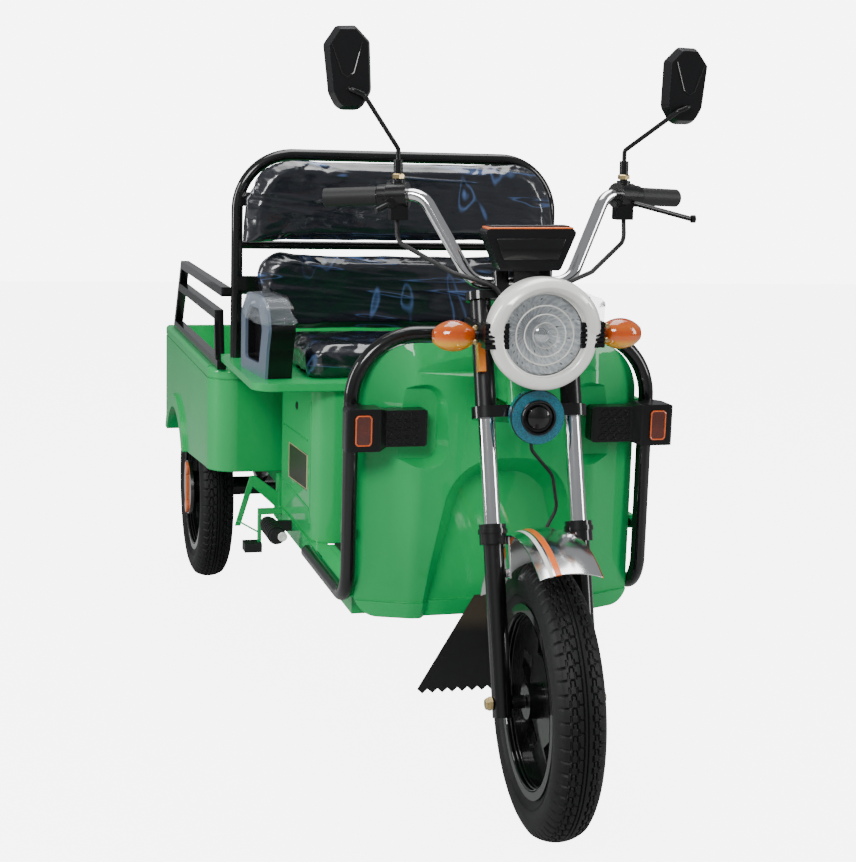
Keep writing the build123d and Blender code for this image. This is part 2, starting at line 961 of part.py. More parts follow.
with BuildPart() as headlamp_lens:
    with BuildSketch(Plane(origin=lamp_centre, x_dir=(1, 0, 0), z_dir=(0, 0, 1))):
        with BuildLine():
            Line((0, 0), (0, -lamp_lens_crown))
            ThreePointArc(
                (0, -lamp_lens_crown),
                (lamp_lens_radius / 2, -lamp_lens_crown * 3 / 4 - lamp_lens_thickness / 4),
                (lamp_lens_radius, -lamp_lens_thickness),
            )
            Line((lamp_lens_radius, -lamp_lens_thickness), (lamp_lens_radius, 0))
            Line((lamp_lens_radius, 0), (0, 0))
        make_face()
    revolve(axis=lamp_axis)
keep_turned(headlamp_lens.part, "headlamp_lens")

# Brackets that join the headlamp, the signals and the fork covers
with BuildPart() as shell_envelope:
    with BuildSketch(Plane(origin=lamp_centre, x_dir=(1, 0, 0), z_dir=(0, 0, 1))):
        with BuildLine():
            Polyline(
                (0, -lamp_bezel_depth / 2 - sleeve_clearance),
                (lamp_shell_radius - lamp_bezel_depth / 2, -lamp_bezel_depth / 2 - sleeve_clearance),
                (lamp_shell_radius + sleeve_clearance, lamp_bezel_depth / 2),
                (lamp_back_radius + lamp_shell_wall + sleeve_clearance, lamp_shell_depth + sleeve_clearance),
                (0, lamp_shell_depth + sleeve_clearance),
                close=True,
            )
        make_face()
    revolve(axis=lamp_axis)
block_front_y = lamp_centre_y - lamp_bezel_depth / 2 - lamp_block_proud
arm_x = leg_half_spacing + cover_radius + lamp_arm_thickness / 2 + sleeve_clearance
cover_y_at_lamp = lamp_centre_z * math.tan(rake)
signal_z = lamp_centre_z - signal_drop
rib_pitch = (lamp_block_height - lamp_rib_gap) / lamp_rib_count
with BuildPart() as lamp_brackets:
    for side in (-1, 1):
        block_span = outward(side, arm_x - lamp_block_width, arm_x + lamp_arm_thickness / 2)
        add(block(block_span, (block_front_y, block_front_y + lamp_block_depth),
                  (lamp_centre_z - lamp_block_height / 2, lamp_centre_z + lamp_block_height / 2)))
        arm_span = outward(side, arm_x - lamp_arm_thickness / 2, arm_x + lamp_arm_thickness / 2)
        add(block(arm_span, (block_front_y, cover_y_at_lamp + cover_radius),
                  (lamp_centre_z - lamp_arm_height / 2, lamp_centre_z + lamp_arm_height / 2)))
        add(rod(place(side * arm_x, signal_y, signal_z),
                place(side * (signal_x - signal_half_width + signal_stalk_reach), signal_y, signal_z),
                signal_stalk_radius))
        for rib in range(1, lamp_rib_count):
            groove_z = lamp_centre_z - lamp_block_height / 2 + rib * rib_pitch
            add(block(block_span, (block_front_y - cut_overrun, block_front_y + lamp_rib_depth),
                      (groove_z, groove_z + lamp_rib_gap)), mode=Mode.SUBTRACT)
    add(shell_envelope.part, mode=Mode.SUBTRACT)
keep_turned(lamp_brackets.part, "lamp_brackets")

with BuildPart() as turn_signals:
    for side in (-1, 1):
        signal_centre = place(side * signal_x, signal_y, signal_z)
        with BuildSketch(Plane(origin=signal_centre, x_dir=(1, 0, 0), z_dir=(0, -1, 0))):
            with BuildLine():
                Line((-signal_half_width, 0), (-signal_half_width, signal_end_radius))
                ThreePointArc(
                    (-signal_half_width, signal_end_radius),
                    (0, signal_half_height),
                    (signal_half_width, signal_end_radius),
                )
                Line((signal_half_width, signal_end_radius), (signal_half_width, 0))
                Line((signal_half_width, 0), (-signal_half_width, 0))
            make_face()
        revolve(axis=Axis(signal_centre, (1, 0, 0)))
    for side in (-1, 1):
        add(rod(place(side * arm_x, signal_y, signal_z),
                place(side * (signal_x - signal_half_width + signal_stalk_reach), signal_y, signal_z),
                signal_stalk_radius + sleeve_clearance), mode=Mode.SUBTRACT)
keep_turned(turn_signals.part, "turn_signals")

# Horn below the headlamp
horn_centre = place(0, horn_y, horn_z)
with BuildPart() as horn:
    with BuildSketch(Plane(origin=horn_centre, z_dir=(0, 1, 0))):
        Circle(horn_radius)
    extrude(amount=horn_depth)
    with BuildSketch(Plane(origin=horn_centre, z_dir=(0, 1, 0))):
        Circle(horn_cone_radius)
    extrude(amount=horn_cone_depth, taper=horn_cone_angle, mode=Mode.SUBTRACT)
    add(block((-horn_foot_width / 2, horn_foot_width / 2),
              (horn_y + horn_depth, (clamp_bottom + clamp_top) / 2 * lean_sin),
              (horn_z - horn_foot_height / 2, horn_z + horn_foot_height / 2)))
    add(fork_yokes.part, mode=Mode.SUBTRACT)
keep_turned(horn.part, "horn")

# Instrument pod on the handlebar
with BuildPart() as instrument_pod:
    with BuildSketch(facing(pod_back_y)):
        with BuildLine():
            FilletPolyline(
                (-pod_top_half_width, pod_top_z),
                (pod_top_half_width, pod_top_z),
                (pod_bottom_half_width, pod_bottom_z),
                (-pod_bottom_half_width, pod_bottom_z),
                radius=pod_corner,
                close=True,
            )
        make_face()
    extrude(amount=pod_back_y - pod_front_y)
    add(block((-pod_foot_width / 2, pod_foot_width / 2), (pod_back_y - pod_foot_depth, bar_centre_y),
              (bar_centre_z + pod_foot_saddle, pod_bottom_z + pod_corner)))
    add(cross_bar(bar_low_bend_x, bar_centre_y, bar_centre_z, bar_radius + sleeve_clearance),
        mode=Mode.SUBTRACT)
keep_turned(instrument_pod.part, "instrument_pod")

# Front fender with its stays, and the mud flap behind the wheel
fender_radius = tyre_radius + fender_gap


def on_wheel(angle, radius, x=0):
    """A point round the front wheel, with the angle counted rearwards from straight up."""
    turn = math.radians(angle)
    return Vector(x, back(radius * math.sin(turn)), tyre_radius + radius * math.cos(turn))


start = math.radians(fender_front_angle)
fender_plane = Plane(origin=front_centre, x_dir=(1, 0, 0), z_dir=(0, -math.cos(start), -math.sin(start)))
with BuildPart() as front_fender:
    with BuildSketch(fender_plane):
        with BuildLine():
            ThreePointArc(
                (-fender_width / 2, fender_radius),
                (0, fender_radius + fender_crown),
                (fender_width / 2, fender_radius),
            )
            Line((fender_width / 2, fender_radius), (fender_width / 2, fender_radius - fender_thickness))
            ThreePointArc(
                (fender_width / 2, fender_radius - fender_thickness),
                (0, fender_radius + fender_crown - fender_thickness),
                (-fender_width / 2, fender_radius - fender_thickness),
            )
            Line((-fender_width / 2, fender_radius - fender_thickness), (-fender_width / 2, fender_radius))
        make_face()
    revolve(axis=Axis(front_centre, (-1, 0, 0)), revolution_arc=fender_front_angle + fender_rear_angle)
    stay_x = (fender_width - fender_stay_thickness) / 2
    with BuildSketch(leg_plane(0, fender_stay_foot)):
        with Locations((-stay_x, 0), (stay_x, 0)):
            Rectangle(fender_stay_thickness, fender_stay_width)
    extrude(amount=fender_radius - fender_thickness / 2 - fender_stay_foot)
    boss_gap = leg_half_spacing - slider_radius - sleeve_clearance - stay_x
    for side in (-1, 1):
        with BuildSketch(Plane(origin=on_leg(side * stay_x, fender_stay_foot + fender_stay_width / 2),
                               z_dir=(side, 0, 0))):
            Circle(fender_boss_radius)
        extrude(amount=boss_gap)
keep_turned(front_fender.part, "front_fender")

flap_top = on_wheel(fender_rear_angle, fender_radius)
flap_drop = flap_top.Z - up(flap_bottom_z)
tooth_pitch = 2 * flap_bottom_half_width / flap_tooth_count
flap_teeth = []
for tooth in range(flap_tooth_count):
    left_x = -flap_bottom_half_width + tooth * tooth_pitch
    flap_teeth += [(left_x, -flap_drop + flap_tooth_depth), (left_x + tooth_pitch / 2, -flap_drop)]
flap_teeth.append((flap_bottom_half_width, -flap_drop + flap_tooth_depth))
flap_direction = Vector(0, flap_rear_lean, -flap_drop).normalized()
flap_plane = Plane(origin=flap_top + Vector(0, fender_thickness, 0), x_dir=(1, 0, 0),
                   z_dir=(0, flap_direction.Z, -flap_direction.Y))
with BuildPart() as mud_flap:
    with BuildSketch(flap_plane):
        with BuildLine():
            Polyline(
                (-flap_top_half_width, 0),
                *flap_teeth,
                (flap_top_half_width, 0),
                close=True,
            )
        make_face()
    extrude(amount=-flap_thickness)
keep_turned(mud_flap.part, "mud_flap")

# Cables from the hand controls into the back of the headlamp, and from the horn to the fender
hand_cable_route = [
    (204, 284, 790),
    (204, 276, 742),
    (122, 200, 694),
    (60, 164, 676),
    (34, 168, 640),
    (28, 152, 618),
]
horn_cable_route = [
    (-8, 98, 424),
    (-4, 108, 404),
    (44, 142, 352),
    (56, 150, 292),
    (30, 150, 242),
]
with BuildPart() as control_cables:
    for side in (-1, 1):
        add(bent_tube([place(side * x, y, z) for x, y, z in hand_cable_route], cable_bend, cable_radius))
    add(bent_tube([place(x, y, z) for x, y, z in horn_cable_route], horn_cable_bend, horn_cable_radius))
    add(horn.part, mode=Mode.SUBTRACT)
    add(hand_controls.part, mode=Mode.SUBTRACT)
    add(shell_envelope.part, mode=Mode.SUBTRACT)
    add(front_fender.part, mode=Mode.SUBTRACT)
keep_turned(control_cables.part, "control_cables")

# Guard hoop, bent down and back into the foot rails
hoop_leg_x = hoop_half_width - hoop_tube_radius
hoop_top = hoop_top_z - hoop_tube_radius
hoop_points = [
    place(-hoop_leg_x, rail_rear_y, rail_z),
    place(-hoop_leg_x, hoop_y, rail_z),
    place(-hoop_leg_x, hoop_y, hoop_top),
    place(hoop_leg_x, hoop_y, hoop_top),
    place(hoop_leg_x, hoop_y, rail_z),
    place(hoop_leg_x, rail_rear_y, rail_z),
]
hoop_bends = [hoop_low_bend, hoop_top_bend, hoop_top_bend, hoop_low_bend]
brace_front_y = shield_side_y + shield_wall + sleeve_clearance
with BuildPart() as guard_hoop:
    add(bent_tube(hoop_points, hoop_bends, hoop_tube_radius))
    for side in (-1, 1):
        foot_span = outward(side, side_rail_x + side_rail_width / 2 + sleeve_clearance, hoop_leg_x)
        add(block(foot_span, (rail_rear_y - rail_end_bend, rail_rear_y),
                  (side_rail_bottom + side_rail_height / 2, rail_z)))
        for z in (brace_low_z, brace_high_z):
            add(block(outward(side, hoop_leg_x - hoop_tube_radius, hoop_leg_x),
                      (hoop_y, brace_front_y - sleeve_clearance),
                      (z - brace_height / 4, z + brace_height / 4)))
keep(guard_hoop.part, "guard_hoop")

# Front shield: a bulged panel with a wheel hollow, a notch for the neck and two lamp recesses
shield_half = hoop_leg_x - hoop_tube_radius - shield_edge_clearance
shield_top_z = hoop_top - hoop_tube_radius - shield_edge_clearance
shield_corner_radius = hoop_top_bend - hoop_tube_radius - shield_edge_clearance
shield_height = shield_top_z - shield_bottom_z
# Share of the height, then how far the knees and the centre stand forward, as shares of the bulge
shield_section_shares = [
    (0.0, 0.62, 0.68),
    (0.14, 0.80, 0.88),
    (0.38, 1.0, 1.10),
    (0.62, 1.0, 1.12),
    (0.84, 0.85, 0.96),
    (1.0, 0.52, 0.60),
]


def shield_body(shift):
    """The shield as a thick body whose front is its outer surface, moved rearwards by the shift."""
    rear = back(shield_side_y + shield_wall + shift)
    with BuildPart() as body:
        for height_share, knee_share, centre_share in shield_section_shares:
            side_y = back(shield_side_y + shift)
            knee_y = side_y - knee_share * shield_bulge
            centre_y = side_y - centre_share * shield_bulge
            with BuildSketch(level(shield_bottom_z + height_share * shield_height)):
                with BuildLine():
                    FilletPolyline(
                        (-shield_half, rear),
                        (-shield_half, side_y),
                        (-shield_knee_x, knee_y),
                        (-shield_centre_x, centre_y),
                        (shield_centre_x, centre_y),
                        (shield_knee_x, knee_y),
                        (shield_half, side_y),
                        (shield_half, rear),
                        radius=[0, shield_wall, shield_bend_radius, shield_bend_radius, shield_bend_radius,
                                shield_bend_radius, shield_wall, 0],
                        close=True,
                    )
                make_face()
        loft()
        for side in (-1, 1):
            recess_width = shield_half - recess_inner_x + recess_corner
            with BuildSketch(Plane(origin=(side * (recess_inner_x + recess_width / 2),
                                           back(shield_side_y - shield_bulge + recess_depth + shift),
                                           up((recess_bottom + recess_top) / 2)),
                                   x_dir=(1, 0, 0), z_dir=(0, -1, 0))):
                RectangleRounded(recess_width, recess_top - recess_bottom, recess_corner)
            extrude(amount=recess_depth * 2, taper=-recess_draft, mode=Mode.SUBTRACT)
        ledge_y = shield_side_y - shield_bulge + shield_ledge_depth + shift
        with BuildSketch(across(-2 * shield_half)):
            with BuildLine():
                Polyline(
                    (back(ledge_y), shield_ledge_z + shield_ledge_slope),
                    (back(ledge_y), hoop_top_z),
                    (back(ledge_y - shield_bulge), hoop_top_z),
                    (back(ledge_y - shield_bulge), shield_ledge_z),
                    (back(ledge_y - shield_ledge_depth * 2), shield_ledge_z),
                    close=True,
                )
            make_face()
        extrude(amount=4 * shield_half, mode=Mode.SUBTRACT)
        with BuildSketch(facing(hollow_back_y + shift)):
            with BuildLine():
                FilletPolyline(
                    (-hollow_low_half_width, shield_bottom_z - cut_overrun),
                    (-hollow_top_half_width, hollow_top_z),
                    (hollow_top_half_width, hollow_top_z),
                    (hollow_low_half_width, shield_bottom_z - cut_overrun),
                    radius=[0, hollow_corner, hollow_corner, 0],
                    close=True,
                )
            make_face()
        extrude(amount=shield_bulge, taper=-hollow_draft, mode=Mode.SUBTRACT)
    return body.part


with BuildPart() as shield_lip:
    add(shield_body(-lip_depth))
    add(block((-2 * shield_half, 2 * shield_half), (0, shield_side_y + shield_bulge),
              (shield_bottom_z + lip_height, hoop_top_z)), mode=Mode.SUBTRACT)


with BuildPart() as front_shield:
    add(shield_body(0))
    add(shield_lip.part)
    add(shield_body(shield_wall), mode=Mode.SUBTRACT)
    with BuildSketch(facing(hoop_y + shield_side_y)):
        with Locations((0, shield_bottom_z + shield_height / 2)):
            Rectangle(4 * shield_half, 2 * shield_height)
        with BuildLine():
            FilletPolyline(
                (-shield_half, shield_bottom_z),
                (-shield_half, shield_top_z),
                (shield_half, shield_top_z),
                (shield_half, shield_bottom_z),
                radius=[shield_bottom_corner_radius, shield_corner_radius, shield_corner_radius,
                        shield_bottom_corner_radius],
                close=True,
            )
        make_face(mode=Mode.SUBTRACT)
    extrude(amount=hoop_y + shield_side_y, mode=Mode.SUBTRACT)
    notch_height = shield_top_z - shield_notch_bottom + cut_overrun
    with BuildSketch(level(shield_notch_bottom)):
        with Locations((0, back(hoop_y))):
            Rectangle(2 * shield_notch_half_width, shield_side_y)
    extrude(amount=notch_height, mode=Mode.SUBTRACT)
keep(front_shield.part, "front_shield")

# Corner lamps sit in the recesses and wrap round the hoop; each has an amber lens at its outer end
hoop_side = rod(place(-hoop_leg_x, hoop_y, corner_lamp_bottom - cut_overrun),
                place(-hoop_leg_x, hoop_y, corner_lamp_top + cut_overrun),
                hoop_tube_radius + sleeve_clearance)
recess_floor_y = shield_side_y - shield_bulge + recess_depth
pad_low, pad_high = corner_lamp_bottom + corner_lamp_pad_inset, corner_lamp_top - corner_lamp_pad_inset
pad_outer_x = corner_lamp_block_x - corner_lamp_step
lens_middle = (corner_lamp_bottom + corner_lamp_top) / 2
lens_low, lens_high = lens_middle - corner_lens_height / 2, lens_middle + corner_lens_height / 2
with BuildPart() as corner_lamps:
    with BuildSketch(level(corner_lamp_bottom)):
        with BuildLine():
            FilletPolyline(
                (-corner_lamp_outer_x, back(corner_lamp_front_y + corner_lamp_wrap)),
                (-corner_lamp_outer_x, back(corner_lamp_front_y)),
                (-corner_lamp_block_x, back(corner_lamp_front_y)),
                (-pad_outer_x, back(corner_lamp_front_y + corner_lamp_step)),
                (-corner_lamp_inner_x, back(corner_lamp_front_y + corner_lamp_step)),
                (-corner_lamp_inner_x, back(recess_floor_y)),
                (-hoop_leg_x + hoop_tube_radius, back(recess_floor_y)),
                (-hoop_leg_x + hoop_tube_radius, back(hoop_y)),
                (-hoop_leg_x, back(hoop_y)),
                radius=[corner_lamp_wrap_radius, corner_lamp_round, corner_lamp_round, corner_lamp_round,
                        corner_lamp_round, 0, 0, 0, 0],
                close=True,
            )
        make_face()
    extrude(amount=corner_lamp_top - corner_lamp_bottom)
    with BuildSketch(facing(hoop_y + hoop_tube_radius)):
        with Locations((-corner_lamp_outer_x, lens_middle)):
            Rectangle(2 * corner_lamp_outer_x, 2 * (corner_lamp_top - corner_lamp_bottom))
        with BuildLine():
            FilletPolyline(
                (-corner_lamp_outer_x, corner_lamp_bottom),
                (-corner_lamp_outer_x, corner_lamp_top),
                (-corner_lamp_block_x, corner_lamp_top),
                (-pad_outer_x, pad_high),
                (-corner_lamp_inner_x, pad_high),
                (-corner_lamp_inner_x, pad_low),
                (-pad_outer_x, pad_low),
                (-corner_lamp_block_x, corner_lamp_bottom),
                radius=corner_lamp_round,
                close=True,
            )
        make_face(mode=Mode.SUBTRACT)
    extrude(amount=hoop_y, mode=Mode.SUBTRACT)
    add(hoop_side, mode=Mode.SUBTRACT)
    add(shield_body(-sleeve_clearance), mode=Mode.SUBTRACT)
    add(block((-corner_lens_x - corner_lens_width / 2, -corner_lens_x + corner_lens_width / 2),
              (corner_lamp_front_y - cut_overrun, corner_lamp_front_y + corner_lens_thickness / 2),
              (lens_low, lens_high)), mode=Mode.SUBTRACT)
    add(mirrored(corner_lamps.part))
keep(corner_lamps.part, "corner_lamps")

with BuildPart() as corner_lenses:
    add(block(
        (-corner_lens_x - corner_lens_width / 2 + sleeve_clearance,
         -corner_lens_x + corner_lens_width / 2 - sleeve_clearance),
        (corner_lamp_front_y - corner_lens_thickness / 2, corner_lamp_front_y + corner_lens_thickness / 2),
        (lens_low + sleeve_clearance, lens_high - sleeve_clearance),
    ))
    add(mirrored(corner_lenses.part))
keep(corner_lenses.part, "corner_lenses")

# Chassis: head tube, neck, post, rails, cross members and spring hangers
side_rail_top = side_rail_bottom + side_rail_height
rear_rail_top = rear_rail_bottom + rear_rail_height
head_low = clamp_top + head_end_clearance
head_high = cover_top - head_end_clearance
head_neck_top = hoop_top_z - 2 * hoop_tube_radius - head_neck_gap
head_neck_bottom = head_neck_top - head_neck_height
neck_front = axis_behind_axle + (head_neck_bottom + head_neck_top) / 2 * math.tan(rake)
post_rear_y = post_front_y + post_depth
spring_front_y = wheelbase - spring_half_length
spring_rear_y = wheelbase + min(spring_half_length, vehicle_rear - wheelbase - spring_eye_radius)
saddle_top = rear_tube_radius
with BuildPart() as frame:
    with BuildSketch(leg_plane(0, head_low)):
        with Locations((0, stem_back)):
            Circle(head_tube_radius)
    extrude(amount=head_high - head_low)
    add(block((-head_neck_half_width, head_neck_half_width), (neck_front, post_front_y + post_depth / 2),
              (head_neck_bottom, head_neck_top)))
    with BuildSketch(leg_plane(0, head_low - cut_overrun)):
        with Locations((0, stem_back)):
            Circle(stem_radius + running_clearance)
    extrude(amount=head_high - head_low + 2 * cut_overrun, mode=Mode.SUBTRACT)
    add(block((-post_half_width, post_half_width), (post_front_y, post_rear_y),
              (side_rail_bottom, head_neck_top)))
    for z in (brace_low_z, brace_high_z):
        add(block((-hoop_leg_x, hoop_leg_x), (brace_front_y, post_rear_y - post_depth / 4),
                  (z - brace_height / 2, z + brace_height / 2)))
    rail_low, rail_high = side_rail_x - side_rail_width / 2, side_rail_x + side_rail_width / 2
    add(block((-rail_high, rail_high), (post_rear_y - post_depth / 2, post_rear_y + cross_depth),
              (side_rail_bottom, side_rail_top - footboard_thickness)))
    for side in (-1, 1):
        add(block(outward(side, rail_low, rail_high), (side_rail_front_y, side_rail_rear_y),
                  (side_rail_bottom, side_rail_top)))
        rear_span = outward(side, rear_rail_x - rear_rail_width / 2, rear_rail_x + rear_rail_width / 2)
        add(block(rear_span, (rear_rail_front_y, rear_rail_rear_y), (rear_rail_bottom, rear_rail_top)))
        for y in (spring_front_y, spring_rear_y):
            add(block(rear_span, (y - spring_eye_radius, y + spring_eye_radius),
                      (saddle_top + spring_rise, rear_rail_bottom)))
    for y in (footboard_rear_y - cross_depth, seat_box_rear_y):
        add(block((-rail_high, rail_high), (y, y + cross_depth),
                  (side_rail_bottom, side_rail_top - footboard_thickness)))
    add(block((-rail_high, rail_high), (rear_rail_front_y, rear_rail_front_y + cross_depth),
              (side_rail_bottom, rear_rail_top)))
    for y in (spring_front_y, rear_rail_rear_y - cross_depth):
        add(block((-rear_rail_x, rear_rail_x), (y - cross_depth / 2, y + cross_depth / 2),
                  (rear_rail_bottom, rear_rail_top)))
    with BuildSketch(facing(strut_y + strut_thickness)):
        with BuildLine():
            Polyline(
                (-rail_low, side_rail_top - strut_width),
                (-rail_low, side_rail_top),
                (-strut_top_x + strut_width / 2, box_bottom_z),
                (-strut_top_x - strut_width / 2, box_bottom_z),
                (-strut_foot_x - strut_width / 2, strut_foot_z),
                (-strut_foot_x + strut_width / 2, strut_foot_z),
                (-strut_top_x, box_bottom_z - 2 * strut_width),
                (-rail_high, side_rail_top - strut_width),
                close=True,
            )
        make_face()
        mirror(about=Plane.YZ)
    extrude(amount=strut_thickness)
keep(frame.part, "frame")

# Footboard, mat, seat box and deck
board_top = side_rail_top
with BuildPart() as footboard:
    add(block((-rail_low + sleeve_clearance, rail_low - sleeve_clearance),
              (post_rear_y + sleeve_clearance, footboard_rear_y),
              (board_top - footboard_thickness, board_top)))
keep(footboard.part, "footboard")

with BuildPart() as floor_mat:
    add(block((-rail_low + mat_margin, rail_low - mat_margin), (post_rear_y + mat_margin, footboard_rear_y),
              (board_top, board_top + mat_thickness)))
keep(floor_mat.part, "floor_mat")

deck_bottom = deck_top_z - deck_thickness
with BuildPart() as seat_box:
    with BuildSketch(level(board_top)) as seat_base:
        with Locations((0, back((seat_box_front_y + seat_box_rear_y) / 2))):
            Rectangle(2 * seat_box_half_width, seat_box_rear_y - seat_box_front_y)
        fillet(seat_base.vertices().group_by(Axis.Y)[0], radius=seat_box_corner)
    extrude(amount=deck_bottom - board_top)
    with BuildSketch(level(board_top + seat_box_wall)) as seat_hollow:
        add(seat_base.sketch)
        offset(amount=-seat_box_wall)
    extrude(amount=deck_bottom - board_top, mode=Mode.SUBTRACT)
keep(seat_box.part, "seat_box")

with BuildPart() as battery:
    battery_y = (seat_box_front_y + seat_box_rear_y) / 2
    add(block((-battery_width / 2, battery_width / 2),
              (battery_y - battery_length / 2, battery_y + battery_length / 2),
              (board_top + seat_box_wall, board_top + seat_box_wall + battery_height)))
keep(battery.part, "battery")

with BuildPart() as seat_deck:
    with BuildSketch(level(deck_bottom)) as deck_sketch:
        with Locations((0, back((deck_front_y + deck_rear_y) / 2))):
            Rectangle(2 * deck_half_width, deck_rear_y - deck_front_y)
        fillet(deck_sketch.vertices().group_by(Axis.Y)[0], radius=deck_corner)
    extrude(amount=deck_thickness)
keep(seat_deck.part, "seat_deck")

# Seat and backrests, plain closed forms under the upholstery
with BuildPart() as seat_cushion:
    with BuildSketch(level(deck_top_z + soft_clearance)) as cushion_sketch:
        with Locations((0, back((cushion_front_y + cushion_rear_y) / 2))):
            Rectangle(2 * cushion_half_width, cushion_rear_y - cushion_front_y)
        fillet(cushion_sketch.vertices().group_by(Axis.Y)[0], radius=cushion_corner)
    extrude(amount=cushion_height)
keep(seat_cushion.part, "seat_cushion")

back_face_y = backrest_y - backrest_tube_radius
with BuildPart() as backrest_lower:
    with BuildSketch(facing(back_face_y - soft_clearance)) as lower_sketch:
        with Locations((0, (back_lower_bottom + back_lower_top) / 2)):
            Rectangle(2 * back_half_width, back_lower_top - back_lower_bottom)
        fillet(lower_sketch.vertices().group_by(Axis.Y)[-1], radius=back_lower_corner)
    extrude(amount=back_thickness)
keep(backrest_lower.part, "backrest_lower")

with BuildPart() as backrest_upper:
    with BuildSketch(facing(back_face_y - soft_clearance)) as upper_sketch:
        with Locations((0, (back_upper_bottom + back_upper_top) / 2)):
            Rectangle(2 * back_upper_half_width, back_upper_top - back_upper_bottom)
        fillet(upper_sketch.vertices().group_by(Axis.Y)[-1], radius=back_upper_corner)
    extrude(amount=back_thickness)
keep(backrest_upper.part, "backrest_upper")

backrest_x = backrest_half_width - backrest_tube_radius
backrest_top = backrest_top_z - backrest_tube_radius
with BuildPart() as backrest_frame:
    add(bent_tube(
        [
            place(-backrest_x, backrest_y, deck_top_z),
            place(-backrest_x, backrest_y, backrest_top),
            place(backrest_x, backrest_y, backrest_top),
            place(backrest_x, backrest_y, deck_top_z),
        ],
        backrest_bend,
        backrest_tube_radius,
    ))
    for z in (crossbar_z, (back_lower_bottom + back_lower_top) / 2):
        add(cross_bar(backrest_x, backrest_y, z, crossbar_radius))
    for side in (-1, 1):
        low, high = sorted((side * (backrest_x - back_tab_length), side * backrest_x))
        for z in ((back_lower_bottom + back_lower_top) / 2 + back_tab_rise,
                  (back_upper_bottom + back_upper_top) / 2):
            add(block((low, high), (back_face_y, back_face_y + back_tab_thickness),
                      (z - back_tab_height / 2, z + back_tab_height / 2)))
keep(backrest_frame.part, "backrest_frame")

# Armrests toe outwards; a black core carries a plate with a window on its outer face
armrest_height = armrest_top_z - deck_top_z
armrest_run = Vector(armrest_rear_x - armrest_front_x, armrest_rear_y - armrest_front_y, 0)
armrest_out = Vector(armrest_run.Y, -armrest_run.X, 0).normalized()
# Share of the armrest's length, share of its height
armrest_outline_shares = [
    (0.12, 0.0),
    (0.07, 0.36),
    (0.0, 0.62),
    (0.07, 0.88),
    (0.30, 1.0),
    (0.78, 1.0),
    (1.0, 0.74),
    (1.0, 0.0),
]
armrest_window_shares = [
    (0.34, 0.16),
    (0.24, 0.60),
    (0.36, 0.84),
    (0.70, 0.84),
    (0.84, 0.66),
    (0.84, 0.16),
]


def armrest_plane(lift):
    """The outer face of the left armrest's core, moved outwards by the lift."""
    return Plane(origin=place(armrest_front_x, armrest_front_y, deck_top_z) + armrest_out * lift,
                 x_dir=armrest_run, z_dir=armrest_out)


def armrest_face(outline_shares, radius):
    """A rounded outline on the armrest, from a table of shares."""
    corners = [(length_share * armrest_run.length, height_share * armrest_height)
               for length_share, height_share in outline_shares]
    with BuildSketch() as outline:
        with BuildLine():
            FilletPolyline(*corners, radius=radius, close=True)
        make_face()
    return outline.sketch


outline_bends = [0] + [armrest_corner] * (len(armrest_outline_shares) - 2) + [0]
with BuildPart() as armrest_cores:
    with BuildSketch(armrest_plane(0)):
        add(armrest_face(armrest_outline_shares, outline_bends))
    extrude(amount=-armrest_width)
    with BuildSketch(armrest_plane(0)):
        add(armrest_face(armrest_window_shares, armrest_window_corner))
    extrude(amount=-armrest_pocket, mode=Mode.SUBTRACT)
    add(mirrored(armrest_cores.part))
keep(armrest_cores.part, "armrest_cores")

with BuildPart() as armrests:
    with BuildSketch(armrest_plane(0)):
        add(armrest_face(armrest_outline_shares, outline_bends))
        add(armrest_face(armrest_window_shares, armrest_window_corner), mode=Mode.SUBTRACT)
    extrude(amount=armrest_plate)
    add(mirrored(armrests.part))
keep(armrests.part, "armrests")

# Cargo box
box_inner = box_half_width - box_wall
bead_z = box_top_z - bead_drop
with BuildPart() as box_front:
    with BuildSketch(level(box_bottom_z)):
        with BuildLine():
            FilletPolyline(
                (-box_half_width, back(box_side_front_y)),
                (-box_half_width, back(box_front_y)),
                (box_half_width, back(box_front_y)),
                (box_half_width, back(box_side_front_y)),
                radius=box_corner,
            )
            Line((box_half_width, back(box_side_front_y)), (box_inner, back(box_side_front_y)))
            FilletPolyline(
                (box_inner, back(box_side_front_y)),
                (box_inner, back(box_front_y + box_wall)),
                (-box_inner, back(box_front_y + box_wall)),
                (-box_inner, back(box_side_front_y)),
                radius=box_corner - box_wall,
            )
            Line((-box_inner, back(box_side_front_y)), (-box_half_width, back(box_side_front_y)))
        make_face()
    extrude(amount=box_top_z - box_bottom_z)
    fillet(box_front.faces().sort_by(Axis.Z)[-1].edges(), radius=top_edge_round)
    with BuildSketch(level(bead_z)):
        with Locations((0, back(box_side_front_y))):
            Rectangle(4 * box_half_width, 4 * box_corner)
        with Locations((0, back((box_front_y + box_rear_y) / 2))):
            RectangleRounded(2 * (box_half_width - bead_groove_depth),
                             box_rear_y - box_front_y - 2 * bead_groove_depth,
                             box_corner - bead_groove_depth, mode=Mode.SUBTRACT)
    extrude(amount=bead_groove_height, mode=Mode.SUBTRACT)
keep(box_front.part, "box_front")

